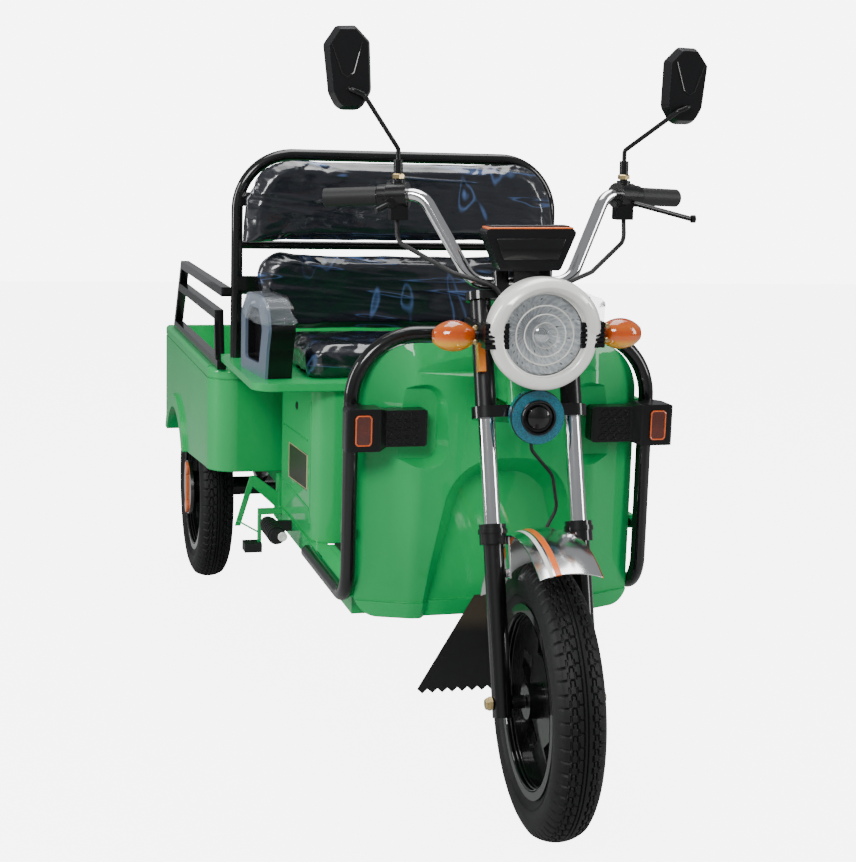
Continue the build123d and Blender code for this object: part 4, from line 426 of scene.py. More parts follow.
def axle_steel():
    """The front axle: yellow zinc at its ends and black between the fork legs."""
    material, tree, shader, place = shader_start("axle steel")
    middle = range_mask(tree, sideways(tree, place), -0.086, 0.086)
    tone = add_tone(tree, shader, place, "brass", 0.15, 120.0)
    feed(tree, shader, {"Roughness": 0.3},
         {"Base Color": mixed_colour(tree, middle, tone, colours().metal_black),
          "Metallic": reckoned(tree, "SUBTRACT", 1.0, middle)})
    add_skin(tree, shader, place, 1400.0, 0.00004)
    return material


def flap_rubber():
    """The mud flap: brown at the top, black below."""
    material, tree, shader, place = shader_start("flap rubber")
    brown_top = ranged(tree, part_of(tree, place, "Z"), 0.27, 0.30)
    tone = add_tone(tree, shader, place, "rubber", 0.2, 30.0)
    feed(tree, shader, {"Roughness": 0.5},
         {"Base Color": mixed_colour(tree, brown_top, tone, (0.040, 0.032, 0.020))})
    add_skin(tree, shader, place, 900.0, 0.0001)
    return material


def signal_lens():
    """Orange lens of a turn signal, with fine cells, a painted yellow highlight low down where the bulb shows,
    and darker orange above it.
    """
    material, tree, shader, place = shader_start("signal lens")
    # Painted highlight: the bright yellow stop low down stands in for the bulb and reflector shining behind
    # the lens, and the stops above it are darker orange.
    glow = ramp(tree, ranged(tree, part_of(tree, place, "Z"), 0.804, 0.858),
                [(0.0, (0.85, 0.15, 0.002)), (0.22, (1.0, 0.50, 0.004)), (0.40, (0.80, 0.14, 0.001)),
                 (0.60, (0.62, 0.075, 0.001)), (0.80, (0.60, 0.12, 0.008)), (1.0, (0.50, 0.05, 0.001))])
    feed(tree, shader, {"Roughness": 0.1, "Coat Weight": 1.0, "Transmission Weight": 0.12},
         {"Base Color": glow, "Normal": bumped(tree, cells(tree, place, 160.0), 0.35, 0.0006)})
    return material


def reflector_facets():
    """Reflector of the headlamp with facets that fan out from its middle, each facet given a painted
    reflection from dark grey to white.
    """
    material, tree, shader, place = shader_start("reflector")
    centre = turned @ spot(0, lamp_mouth, lamp_height)
    facing = add_node(tree, "ShaderNodeMapping", {"vector_type": "POINT"},
                      {"Rotation": (math.radians(-90), 0.0, 0.0), "Location": (-centre.x, -centre.z, 0.0)},
                      {"Vector": place})
    angle = add_node(tree, "ShaderNodeTexGradient", {"gradient_type": "RADIAL"},
                     links={"Vector": facing.outputs["Vector"]})
    facet = reckoned(tree, "PINGPONG", reckoned(tree, "MULTIPLY", angle.outputs["Fac"], 34.0), 0.5)
    both = reckoned(tree, "MULTIPLY_ADD", cells(tree, place, 75.0), 0.7, facet)
    # Painted reflection: each facet is coloured between dark grey and white, in place of the lights the bright
    # reflector would mirror.
    tone = ramp(tree, both, [(0.14, (0.20, 0.22, 0.24)), (0.32, (0.80, 0.82, 0.85)),
                             (0.46, (1.0, 1.0, 1.0)), (0.9, (0.70, 0.73, 0.78))])
    feed(tree, shader, {"Metallic": 0.12, "Roughness": 0.22},
         {"Base Color": tone, "Normal": bumped(tree, both, 0.5, 0.002)})
    return material


def rear_rim_paint():
    """Gloss black rim whose raised hub bar is orange."""
    material, tree, shader, place = shader_start("rear rim paint")
    tone = add_tone(tree, shader, place, "metal_black", 0.15, 9.0)
    bar = ranged(tree, reckoned(tree, "ABSOLUTE", part_of(tree, place, "X")), 0.3722, 0.3726)
    feed(tree, shader, {"Roughness": 0.27, "Coat Weight": 0.9},
         {"Base Color": mixed_colour(tree, bar, tone, colours().stripe)})
    add_skin(tree, shader, place, 240.0, 0.00008, strength=0.25, edge=0.0015)
    return material


def clear_film():
    """Crumpled clear film: nearly clear, with a painted highlight that turns its folds pale."""
    material, tree, shader, place = shader_start("clear film")
    creases = effect(tree, film_creases, {"Scale": 16.0}, place).outputs
    # Painted highlight: where a fold would catch the light the film is coloured near white, elsewhere pale
    # grey blue.
    feed(tree, shader, {"Roughness": 0.12, "Coat Weight": 1.0},
         {"Base Color": mixed_colour(tree, creases["Fold"], (0.55, 0.60, 0.66), (0.93, 0.95, 1.0)),
          "Alpha": ranged(tree, creases["Height"], 0.25, 0.6, 0.12, 0.85),
          "Normal": bumped(tree, creases["Height"], 0.8, 0.004)})
    return material


special_finishes = {"leathercloth": leathercloth, "glass": clear_lens, "signal": signal_lens,
                    "fender": striped_chrome, "flap": flap_rubber, "axle": axle_steel,
                    "rear_rim": rear_rim_paint, "film": clear_film, "reflector": reflector_facets}
finishes = {}


def finish(name):
    """A finish by its name, made the first time it is asked for."""
    if name not in finishes:
        if name in plain_finishes:
            finishes[name] = plain_finish(**plain_finishes[name])
        elif name in tinted_lenses:
            finishes[name] = tinted_lens(*tinted_lenses[name])
        else:
            finishes[name] = special_finishes[name]()
    return finishes[name]


def edit_all():
    """Starts the editing of the active piece, with all of its mesh selected."""
    bpy.ops.object.mode_set(mode="EDIT")
    bpy.ops.mesh.select_all(action="SELECT")


def select_only(piece):
    """Makes one piece the only one selected, and the active one."""
    bpy.ops.object.select_all(action="DESELECT")
    piece.select_set(True)
    bpy.context.view_layer.objects.active = piece


def dress(piece, finish_name, smooth):
    """Gives a piece its finish, and smooths it below an angle in degrees."""
    piece.data.materials.clear()
    piece.data.materials.append(finish(finish_name))
    select_only(piece)
    if smooth:
        bpy.ops.object.shade_smooth_by_angle(angle=math.radians(smooth))


node_finishes = {
    "enamel": "frame brake_pedal front_shield footboard seat_box seat_deck box_floor box_front "
              "box_side_left box_side_right tailgate",
    "gloss_black": "guard_hoop backrest_frame side_racks rear_axle drive_motor leaf_springs fork_yokes "
                   "fork_sliders front_rim tailgate_hinges",
    "rear_rim": "rear_rim_left rear_rim_right",
    "moulded_black": "corner_lamps armrest_cores battery fork_covers hand_controls mirrors lamp_brackets "
                     "instrument_pod",
    "rubber": "floor_mat foot_pegs grips pedal_pad control_cables",
    "flap": "mud_flap",
    "tyre": "front_tyre rear_tyre_left rear_tyre_right",
    "chrome": "stanchions handlebar",
    "fender": "front_fender",
    "silver": "headlamp_shell",
    "axle": "front_axle",
    "leathercloth": "seat_cushion backrest_lower backrest_upper",
    "glass": "headlamp_lens",
    "amber": "fork_reflectors",
    "signal": "turn_signals",
    "marker": "corner_lenses",
    "red": "tail_lamps",
    "teal": "horn",
    "armrest": "armrests",
    "mirror": "mirror_glass",
}


class DressNodes(bpy.types.Operator):
    """Gives every CAD node its finish"""
    bl_idname = "tricycle.dress_nodes"
    bl_label = "Finishes of the solids"

    def execute(self, context):
        for finish_name, names in node_finishes.items():
            for name in names.split():
                piece = frame["nodes"][name]
                piece.data.shade_smooth()
                dress(piece, finish_name, smooth_angle)
        bpy.ops.object.select_all(action="DESELECT")
        return {"FINISHED"}


# Modelling
def spot(x, behind, z):
    """A place in metres: to the left of the middle, behind the front axle, and up from the floor."""
    return Vector((x, front_axle_y + behind, z))


def placed(name):
    """Names the active piece and brings its place, turn and scale into its mesh."""
    piece = bpy.context.object
    piece.name = name
    piece.data.name = name
    bpy.ops.object.transform_apply(location=True, rotation=True, scale=True)
    return piece


# Profiles of the turned pieces, each a list of radius and height along the line, in metres
profiles = {
    "headlamp_reflector": [(0.0655, 0), (0.0625, -0.010), (0.0575, -0.021), (0.050, -0.032),
                           (0.040, -0.042), (0.028, -0.049), (0.016, -0.053), (0.0005, -0.054)],
    "headlamp_brow": [(0.0935, 0.020), (0.0950, -0.010), (0.0938, -0.021), (0.0890, -0.0295),
                      (0.0810, -0.0325), (0.0745, -0.0285), (0.0715, -0.0190), (0.0705, -0.0080)],
    "headlamp_bezel": [(0.0915, -0.004), (0.0908, 0.004), (0.0870, 0.0090), (0.0800, 0.0115),
                       (0.0735, 0.0110), (0.0698, 0.0085), (0.0688, 0.0020), (0.0700, -0.001)],
    "headlamp_bulb_cap": [(0.0155, -0.040), (0.0155, -0.016), (0.0145, -0.012), (0.010, -0.008),
                          (0.004, -0.0065), (0.0002, -0.006)],
    "headlamp_bolt": [(0.0046, 0), (0.0046, 0.0025), (0.0036, 0.0042), (0.0002, 0.0048)],
    "horn_dome": [(0.0300, -0.010), (0.0298, -0.0008), (0.0285, 0.0012), (0.0262, 0.0008), (0.0240, -0.0050),
                  (0.0205, -0.0060), (0.0185, -0.0015), (0.011, 0.0022), (0.005, 0.0035), (0.0002, 0.0038)],
    "horn_trim": [(0.0452, -0.010), (0.0462, -0.006), (0.0462, -0.002), (0.0440, 0.0006), (0.0415, 0.0002)],
    "mirror_nut": [(0.0108, 0), (0.0108, 0.0065), (0.0092, 0.0080), (0.0078, 0.0082)],
    "lock": [(0.0085, -0.002), (0.0085, 0.0018), (0.0066, 0.0026), (0.0056, 0.0008), (0.0002, 0.0006)],
    "peg_bolt": [(0.0098, -0.002), (0.0098, 0.003), (0.0085, 0.0042), (0.0045, 0.0042), (0.0042, 0.0020),
                 (0.0002, 0.0020)],
    "axle_nut": [(0.0125, 0), (0.0125, 0.004), (0.0105, 0.0055), (0.0105, 0.0085), (0.0085, 0.0105),
                 (0.0002, 0.0108)],
}


def lathe(name, centre, direction=straight_ahead, sides=48, profile=None):
    """A piece turned about a line through its centre, from its own profile or one that is given."""
    bpy.ops.object.select_all(action="DESELECT")
    profile = profile or profiles[name]
    radius, height = profile[0]
    bpy.ops.mesh.primitive_circle_add(vertices=sides, radius=radius, location=(0, 0, height))
    edit_all()
    for next_radius, next_height in profile[1:]:
        bpy.ops.mesh.extrude_edges_move(TRANSFORM_OT_translate={"value": (0, 0, next_height - height)})
        share = max(next_radius, 0.00001) / radius
        bpy.ops.transform.resize(value=(share, share, 1), center_override=(0, 0, next_height))
        radius, height = max(next_radius, 0.00001), next_height
    if radius < 0.0001:
        bpy.ops.mesh.merge(type="CENTER")
    bpy.ops.mesh.select_all(action="SELECT")
    bpy.ops.mesh.normals_make_consistent(inside=False)
    bpy.ops.object.mode_set(mode="OBJECT")
    piece = placed(name)
    piece.rotation_euler = Vector(direction).to_track_quat("Z", "Y").to_euler()
    piece.location = centre
    return placed(name)


def bevelled_block(name, low, high, edge, segments=3):
    """A block between two corners with its edges bevelled."""
    low, high = Vector(low), Vector(high)
    bpy.ops.object.select_all(action="DESELECT")
    bpy.ops.mesh.primitive_cube_add(size=1, location=(low + high) / 2)
    bpy.context.object.scale = [abs(c) for c in high - low]
    piece = placed(name)
    edit_all()
    bpy.ops.mesh.bevel(offset=edge, segments=segments, affect="EDGES")
    bpy.ops.object.mode_set(mode="OBJECT")
    return piece


def drawn_bead(name, points, radius, closed=False):
    """A round bead along straight runs between points."""
    curve = bpy.data.curves.new(name, "CURVE")
    curve.dimensions = "3D"
    curve.bevel_depth = radius
    curve.bevel_resolution = 2
    curve.use_fill_caps = not closed
    spline = curve.splines.new("POLY")
    spline.points.add(len(points) - 1)
    for point, place in zip(spline.points, points):
        point.co = (*place, 1)
    spline.use_cyclic_u = closed
    piece = bpy.data.objects.new(name, curve)
    bpy.context.collection.objects.link(piece)
    select_only(piece)
    bpy.ops.object.convert(target="MESH")
    return placed(name)


def joined(name, pieces):
    """Several pieces made one."""
    bpy.ops.object.select_all(action="DESELECT")
    for piece in pieces:
        piece.select_set(True)
    bpy.context.view_layer.objects.active = pieces[0]
    bpy.ops.object.join()
    return placed(name)


def cut_below(piece, height):
    """Removes the faces whose middle lies under a height."""
    bpy.ops.object.mode_set(mode="EDIT")
    bpy.ops.mesh.select_all(action="DESELECT")
    bpy.ops.object.mode_set(mode="OBJECT")
    for face in piece.data.polygons:
        face.select = face.center.z < height
    bpy.ops.object.mode_set(mode="EDIT")
    bpy.ops.mesh.delete(type="FACE")
    bpy.ops.object.mode_set(mode="OBJECT")


def shaped(piece, name, kind, settings):
    """Gives a piece a modifier with its settings, and applies it."""
    modifier = piece.modifiers.new(name, kind)
    for key, value in settings.items():
        setattr(modifier, key, value)
    select_only(piece)
    bpy.ops.object.modifier_apply(modifier=modifier.name)


def settle(piece, body, finish_name, smooth=smooth_angle):
    """Gives a piece its finish and body, and turns a steered one as the steering is parked."""
    if body in ("steering", "front_wheel"):
        piece.data.transform(turned)
    dress(piece, finish_name, smooth)
    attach(piece, body)
    bpy.ops.object.select_all(action="DESELECT")


# Seat and armrests
def puffed_copy(node_name, name, insets):
    """A cushion: a copy of a solid, fitted by its insets and blown up as cloth up to a cap."""
    source = frame["nodes"][node_name]
    piece = source.copy()
    piece.data = source.data.copy()
    piece.parent = None
    piece.matrix_world = Matrix.Identity(4)
    piece.name = name
    bpy.context.collection.objects.link(piece)
    select_only(piece)
    for modifier in list(piece.modifiers):
        piece.modifiers.remove(modifier)
    edit_all()
    bpy.ops.mesh.remove_doubles(threshold=0.00005)
    bpy.ops.object.mode_set(mode="OBJECT")
    corners = [Vector(corner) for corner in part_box(node_name)]
    middle, half = (corners[0] + corners[1]) / 2, (corners[1] - corners[0]) / 2
    for vertex in piece.data.vertices:
        for axis, inset in enumerate(insets):
            vertex.co[axis] = middle[axis] + (vertex.co[axis] - middle[axis]) * (1 - inset / half[axis])
    shaped(piece, "even mesh", "REMESH", {"mode": "VOXEL", "voxel_size": cushion_voxel})
    before = [vertex.co.copy() for vertex in piece.data.vertices]
    cloth = piece.modifiers.new("cloth", "CLOTH")
    cloth.settings.use_pressure = True
    cloth.settings.uniform_pressure_force = cushion_pressure
    cloth.settings.effector_weights.gravity = 0
    for frame_number in range(1, cushion_frames + 1):
        bpy.context.scene.frame_set(frame_number)
    bpy.ops.object.modifier_apply(modifier=cloth.name)
    bpy.context.scene.frame_set(1)
    for vertex, start in zip(piece.data.vertices, before):
        move = vertex.co - start
        if move.length > cushion_cap:
            vertex.co = start + move.normalized() * cushion_cap
    return piece, middle, half


def folds_at(place):
    """Sharp folds at a place, from ridged noise."""
    return noise.ridged_multi_fractal(place, 0.9, 2.1, 3, 1.0, 2.0)


def crumple(piece, middle, half, depth, flat_axis):
    """Folds of film over a cushion, deeper towards its ends."""
    shifts = []
    for vertex in piece.data.vertices:
        place = vertex.co
        ends = abs(place.x - middle.x) / half.x
        stretched = Vector((place.x * 7 + place.z * 5, place.y * 16, place.z * 15 - place.x * 3))
        fold = folds_at(stretched)
        soft = noise.noise(Vector((place.x * 4, place.y * 9, place.z * 9)))
        shifts.append(vertex.normal * depth * ((fold - 1.1) * (0.35 + 0.65 * ends) + 0.5 * soft))
    for vertex, shift in zip(piece.data.vertices, shifts):
        shift[flat_axis] *= 0.6
        vertex.co += shift


class Cushions(bpy.types.Operator):
    """Seat cushion and backrests, blown up as cloth and crumpled as film over leathercloth"""
    bl_idname = "tricycle.cushions"
    bl_label = "Cushions"

    def execute(self, context):
        for node_name, depth, flat_axis, insets, drop in (
            ("seat_cushion", 0.0030, 2, (-0.002, 0.0, 0.004), -cushion_gap),
            ("backrest_lower", 0.0032, 1, (-0.007, 0.004, -0.010), -cushion_gap),
            ("backrest_upper", 0.0036, 1, (-0.014, 0.004, -0.016), 0.008),
        ):
            piece, middle, half = puffed_copy(node_name, node_name + "_cover", insets)
            crumple(piece, middle, half, depth, flat_axis)
            low, high = (Vector(corner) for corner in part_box(node_name))
            for vertex in piece.data.vertices:
                vertex.co.z = max(vertex.co.z, low.z - drop)
                if flat_axis == 1:
                    vertex.co.y = min(vertex.co.y, high.y - cushion_gap)
            shaped(piece, "smooth", "SUBSURF", {"levels": 1, "render_levels": 1})
            piece.data.shade_smooth()
            settle(piece, "chassis", "leathercloth", smooth=0)
            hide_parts(node_name)
        return {"FINISHED"}


class ArmrestFilm(bpy.types.Operator):
    """Crumpled clear film over the top of each armrest"""
    bl_idname = "tricycle.armrest_film"
    bl_label = "Armrest film"

    def execute(self, context):
        for side, word in ((-1, "right"), (1, "left")):
            bpy.ops.object.select_all(action="DESELECT")
            bpy.ops.mesh.primitive_cube_add(size=1, location=spot(side * film_out, 0.805, 0.797))
            context.object.scale = (2 * film_half_width, 0.150, 0.058)
            piece = placed("armrest_film_" + word)
            edit_all()
            bpy.ops.mesh.bevel(offset=0.016, segments=3, affect="EDGES")
            bpy.ops.mesh.select_all(action="SELECT")
            bpy.ops.mesh.subdivide(number_cuts=5)
            bpy.ops.object.mode_set(mode="OBJECT")
            cut_below(piece, 0.772)
            front = spot(0, film_front, 0).y
            for vertex in piece.data.vertices:
                place = vertex.co
                fold = folds_at(place * 26 + Vector((side * 3, 0, 0)))
                sway = noise.noise(place * 17)
                loose = max(0.0, min(1.0, (0.805 - place.z) / 0.03))
                vertex.co += vertex.normal * (0.003 * (fold - 1.0) + 0.005 * loose * sway)
                inner = max(0.0, film_out - side * place.x) / film_half_width
                vertex.co.x += side * (0.108 * (place.y - front - 0.063) - 0.016 * loose * inner)
            shaped(piece, "film wall", "SOLIDIFY", {"thickness": 0.0004})
            piece.data.shade_smooth()
            settle(piece, "chassis", "film", smooth=0)
        return {"FINISHED"}


# Wheels
tyre_profile = [(0.155, -0.030), (0.166, -0.0325), (0.176, -0.0375), (0.1775, -0.0395), (0.179, -0.0385),
                (0.186, -0.0412), (0.194, -0.0420), (0.203, -0.0412), (0.210, -0.0385), (0.2165, -0.0350)]


def crown_height(side):
    """How far the tread is from the axle at a place across it."""
    return tyre_radius - (tread_curve - math.sqrt(tread_curve ** 2 - side ** 2))


# Grooves round the tyre: place across, share of the zigzag, half width, depth
grooves = ((0.0035, 0, 0.0011, 0.0026), (0.0125, 1, 0.0013, 0.0034), (0.0215, -1, 0.0011, 0.0026))
# Cuts across it: from, to, shift on the right, shift on the left (None for no cut), share of the pitch, depth
cuts = ((0.0045, 0.0125, 0.25, None, 0.12, 0.0026), (0.0125, 0.0215, 0, 0, 0.12, 0.0028),
        (0.0240, 0.0375, 0, 0.3, 0.13, 0.0028))


def tread_depth(side, along):
    """How deep the tread is cut at a place across it and along it, in metres."""
    away, turn = abs(side), along / tread_pitch
    zigzag = 0.0016 if turn % 1 < 0.5 else -0.0010
    for middle, share, half_width, depth in grooves:
        if abs(away - middle - share * zigzag) < half_width:
            return depth
    for start, end, right_shift, left_shift, share, depth in cuts:
        shift = left_shift if side > 0 else right_shift
        if shift is not None and start < away < end and (turn + shift) % 1 < share:
            return depth
    return 0.0


def treaded_tyre(name, centre):
    """A tyre turned from its profile and cut with zigzag grooves and shoulder blocks."""
    crown = [(crown_height(step * crown_step), step * crown_step)
             for step in range(-crown_steps, crown_steps + 1)]
    profile = tyre_profile + crown + [(radius, -side) for radius, side in reversed(tyre_profile)]
    piece = lathe(name, centre, (1, 0, 0), tyre_sides, profile)
    for vertex in piece.data.vertices:
        side = vertex.co.x - centre.x
        spoke = Vector((0, vertex.co.y - centre.y, vertex.co.z - centre.z))
        if spoke.length > tread_edge:
            along = (math.atan2(spoke.z, spoke.y) + math.pi) * tyre_radius
            vertex.co -= spoke.normalized() * tread_depth(side, along)
    return piece


wheel_bodies = ("front_wheel", "rear_wheel_right", "rear_wheel_left")


def wheel_centre(body):
    """The middle of a wheel, with the steering straight ahead."""
    low, high = (Vector(corner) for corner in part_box(body.replace("wheel", "tyre")))
    centre = (low + high) / 2
    if body == "front_wheel":
        centre = turned.inverted() @ centre
        centre.x = 0
    return centre


class Tyres(bpy.types.Operator):
    """Three tyres with their tread"""
    bl_idname = "tricycle.tyres"
    bl_label = "Tyres"

    def execute(self, context):
        for body in wheel_bodies:
            node_name = body.replace("wheel", "tyre")
            piece = treaded_tyre(node_name + "_tread", wheel_centre(body))
            settle(piece, body, "tyre", smooth=28)
            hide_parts(node_name)
        return {"FINISHED"}


# Steps of a rim: radius, place outward, thickness
rim_steps = ((0.1462, 0.0330, 0.0024), (0.1440, 0.0262, 0.0020), (0.1432, 0.0200, 0.0018))


class RimSteps(bpy.types.Operator):
    """Rolled steps inside each rim, beside the tyre"""
    bl_idname = "tricycle.rim_steps"
    bl_label = "Rim steps"

    def execute(self, context):
        for body in wheel_bodies:
            centre = wheel_centre(body)
            rings = []
            for side in (-1, 1):
                if body == "front_wheel" or (side > 0) == (centre.x > 0):
                    for radius, outward, thick in rim_steps:
                        round_step = [(radius - thick * inward, thick * across) for inward, across in
                                      ((0, -1), (0.8, -0.6), (1, 0), (0.8, 0.6), (0, 1))]
                        place = centre + Vector((side * outward, 0, 0))
                        rings.append(lathe("step", place, (1, 0, 0), 72, round_step))
            piece = joined(body.replace("wheel", "rim") + "_steps", rings)
            settle(piece, body, "gloss_black")
        return {"FINISHED"}


# Headlamp, horn and corner lamps
class Headlamp(bpy.types.Operator):
    """Faceted reflector, brow, bezel, rings and bulb cap of the headlamp, and its mounting bolts"""
    bl_idname = "tricycle.headlamp"
    bl_label = "Headlamp"

    def execute(self, context):
        middle = spot(0, lamp_mouth, lamp_height)
        bowl = lathe("headlamp_reflector", middle, sides=36)
        settle(bowl, "steering", "reflector", smooth=0)
        brow = lathe("headlamp_brow", spot(0, 0.066, lamp_height), (0, 1, 0), 96)
        bezel_y = spot(0, 0.0585, 0).y
        cut_below(brow, lamp_height - 0.006)
        for vertex in brow.data.vertices:
            rise = max(0.0, min(1.0, (vertex.co.z - 0.828) / 0.060)) ** 0.7
            if vertex.co.y < bezel_y:
                vertex.co.y = bezel_y + (vertex.co.y - bezel_y) * (0.08 + 0.92 * rise)
        shaped(brow, "brow wall", "SOLIDIFY", {"thickness": 0.0018, "offset": 0})
        settle(brow, "steering", "silver", smooth=50)
        bezel = lathe("headlamp_bezel", spot(0, 0.0605, lamp_height), sides=96)
        settle(bezel, "steering", "silver", smooth=50)
        rings = [lathe("ring", spot(0, 0.0535 + depth, lamp_height), sides=64,
                       profile=[(radius, 0), (radius - 0.0012, 0.0018), (radius - 0.0024, 0)])
                 for radius, depth in ((0.050, 0.003), (0.036, 0.0015), (0.022, 0.001))]
        settle(joined("headlamp_rings", rings), "steering", "silver")
        settle(lathe("headlamp_bulb_cap", middle, sides=40), "steering", "chrome")
        bolts = [lathe("headlamp_bolt", spot(side * 0.112, 0.078, lamp_height + lift), sides=12)
                 for side in (-1, 1) for lift in (-0.012, 0.012)]
        settle(joined("headlamp_bolts", bolts), "steering", "zinc")
        return {"FINISHED"}


class Horn(bpy.types.Operator):
    """Black dome and trim rings of the horn"""
    bl_idname = "tricycle.horn"
    bl_label = "Horn middle"

    def execute(self, context):
        low = turned.inverted() @ Vector(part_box("horn")[0])
        middle = spot(0, low.y - front_axle_y, horn_height)
        dome = lathe("horn_dome", middle + Vector((0, 0.0005, 0)), sides=56)
        settle(dome, "steering", "gloss_black")
        trim = lathe("horn_trim", middle + Vector((0, 0.0075, 0)), sides=64)
        settle(trim, "steering", "moulded_black")
        return {"FINISHED"}


class CornerLampTrim(bpy.types.Operator):
    """Orange frames round the corner lenses and the raised links on the pads beside them"""
    bl_idname = "tricycle.corner_lamp_trim"
    bl_label = "Corner lamp trim"

    def execute(self, context):
        half_wide, half_tall, cut = 0.0135, 0.0255, 0.004
        rim = [(half_wide, half_tall - cut), (half_wide - cut, half_tall), (-half_wide + cut, half_tall),
               (-half_wide, half_tall - cut), (-half_wide, -half_tall + cut), (-half_wide + cut, -half_tall),
               (half_wide - cut, -half_tall), (half_wide, -half_tall + cut)]
        link = [(0.0068 * math.cos(math.radians(turn)) * (1.15 if turn % 180 == 0 else 1),
                 0.0062 * math.sin(math.radians(turn))) for turn in range(0, 360, 60)]
        frames, links = [], []
        for side in (-1, 1):
            frames.append(drawn_bead("frame", [spot(side * 0.270 + x, 0.2238, 0.651 + z) for x, z in rim],
                                     0.0014, closed=True))
            for row in range(4):
                for column in range(4):
                    middle = spot(side * (0.172 + column * 0.0155 + (row % 2) * 0.005), 0.2414,
                                  0.6285 + row * 0.0145)
                    links.append(drawn_bead("link", [middle + Vector((side * (x + z * 0.25), 0, z))
                                                     for x, z in link], 0.0009, closed=True))
        settle(joined("corner_lens_frames", frames), "chassis", "rim_orange")
        settle(joined("corner_pad_links", links), "chassis", "moulded_black")
        return {"FINISHED"}


# Handlebar pieces
mirror_vee = [(-0.90, 0.60), (-0.36, -0.16), (-0.10, -0.25), (0.23, -0.14), (0.66, 0.68)]


class MirrorBeads(bpy.types.Operator):
    """The bent bead pressed into each mirror's front and the nut under its stem"""
    bl_idname = "tricycle.mirror_beads"
    bl_label = "Mirror beads"

    def execute(self, context):
        beads, nuts = [], []
        for side, middle_x, middle_z, tall in ((-1, -0.294, 1.263, 0.139), (1, 0.299, 1.242, 0.132)):
            points = [spot(middle_x - side * across * 0.033, 0.2388, middle_z + up * (tall / 2 - 0.007))
                      for across, up in mirror_vee]
            beads.append(drawn_bead("bead", points, 0.0014))
        settle(joined("mirror_beads", beads), "steering", "gloss_black")
        straight = turned.inverted()
        points = [straight @ vertex.co for vertex in frame["nodes"]["mirrors"].data.vertices]
        for side in (-1, 1):
            own = [point for point in points if point.x * side > 0]
            lowest = min(point.z for point in own)
            across, along, _ = zip(*(point for point in own if point.z < lowest + 0.0045))
            middle = Vector(((min(across) + max(across)) / 2, (min(along) + max(along)) / 2,
                             lowest + 0.0025))
            nuts.append(lathe("mirror_nut", middle, (0, 0, 1), 6))
        settle(joined("mirror_nuts", nuts), "steering", "zinc")
        return {"FINISHED"}


class PodTrim(bpy.types.Operator):
    """Orange strip and black cover on top of the instrument pod, and the tapered panel on its front"""
    bl_idname = "tricycle.pod_trim"
    bl_label = "Instrument pod trim"

    def execute(self, context):
        strip = bevelled_block("pod_strip", spot(-0.074, 0.1535, 1.0005), spot(0.074, 0.1975, 1.0045), 0.0015)
        settle(strip, "steering", "orange")
        cover = bevelled_block("pod_cover", spot(-0.069, 0.1585, 1.0040), spot(0.069, 0.1925, 1.0068), 0.0012)
        settle(cover, "steering", "gloss_black")
        panel = bevelled_block("pod_panel", spot(-0.060, 0.1492, 0.9500), spot(0.060, 0.1530, 0.9860), 0.0016)
        for vertex in panel.data.vertices:
            if vertex.co.z < 0.965:
                vertex.co.x *= 0.80
        settle(panel, "steering", "gloss_black")
        return {"FINISHED"}


# Seat box, foot pegs and front axle
class SeatBoxTrim(bpy.types.Operator):
    """Creases, key lock and blank plate on the seat box's sides, and the bolts of the foot pegs"""
    bl_idname = "tricycle.seat_box_trim"
    bl_label = "Seat box trim"

    def execute(self, context):
        beads, locks, plates, edges = [], [], [], []
        for side in (-1, 1):
            face = side * seat_box_side
            beads.append(drawn_bead("crease", [spot(face, 0.802, 0.527), spot(face, 1.074, 0.515)], 0.0022))
            beads.append(drawn_bead("step", [spot(face, 0.776, 0.388), spot(face, 1.074, 0.392)], 0.0030))
            beads.append(drawn_bead("edge", [spot(face, 0.770, 0.360), spot(face, 0.770, 0.612)], 0.0022))
            locks.append(lathe("lock", spot(face, 0.920, 0.580), (side, 0, 0), 32))
            inner = [(0.803, 0.496), (0.997, 0.487), (0.997, 0.412), (0.803, 0.425)]
            edges.append(drawn_bead("edge", [spot(side * 0.2502, y, z) for y, z in inner], 0.0013,
                                    closed=True))
            plate = bevelled_block("plate", spot(side * 0.2495, 0.804, 0.416),
                                   spot(side * 0.2508, 0.996, 0.492), 0.0004, 1)
            for vertex in plate.data.vertices:
                share = (vertex.co.y - front_axle_y - 0.804) / 0.192
                vertex.co.z -= 0.011 * share - 0.006
            plates.append(plate)
        settle(joined("seat_box_creases", beads), "chassis", "enamel")
        settle(joined("seat_box_locks", locks), "chassis", "moulded_black")
        settle(joined("seat_box_plates", plates), "chassis", "blank_plate")
        settle(joined("seat_box_plate_edges", edges), "chassis", "plate_edge")
        pegs = [lathe("peg_bolt", spot(side * peg_bolt_out, 0.822, 0.322), sides=28) for side in (-1, 1)]
        settle(joined("foot_peg_bolts", pegs), "chassis", "silver")
        return {"FINISHED"}


class Fasteners(bpy.types.Operator):
    """The nuts on the ends of the front axle"""
    bl_idname = "tricycle.fasteners"
    bl_label = "Front axle nuts"

    def execute(self, context):
        nuts = [lathe("axle_nut", spot(side * axle_nut_out, 0, tyre_radius), (side, 0, 0), 6)
                for side in (-1, 1)]
        settle(joined("front_axle_nuts", nuts), "steering", "zinc")
        return {"FINISHED"}


# Floor, light and camera
def brighter_to_camera(tree, plain, bright, output):
    """Shows the camera a bright surface, and everything else a plain one."""
    seen = add_node(tree, "ShaderNodeLightPath")
    both = add_node(tree, "ShaderNodeMixShader",
                    links={0: seen.outputs["Is Camera Ray"], 1: plain, 2: bright})
    feed(tree, output, links={"Surface": both.outputs["Shader"]})


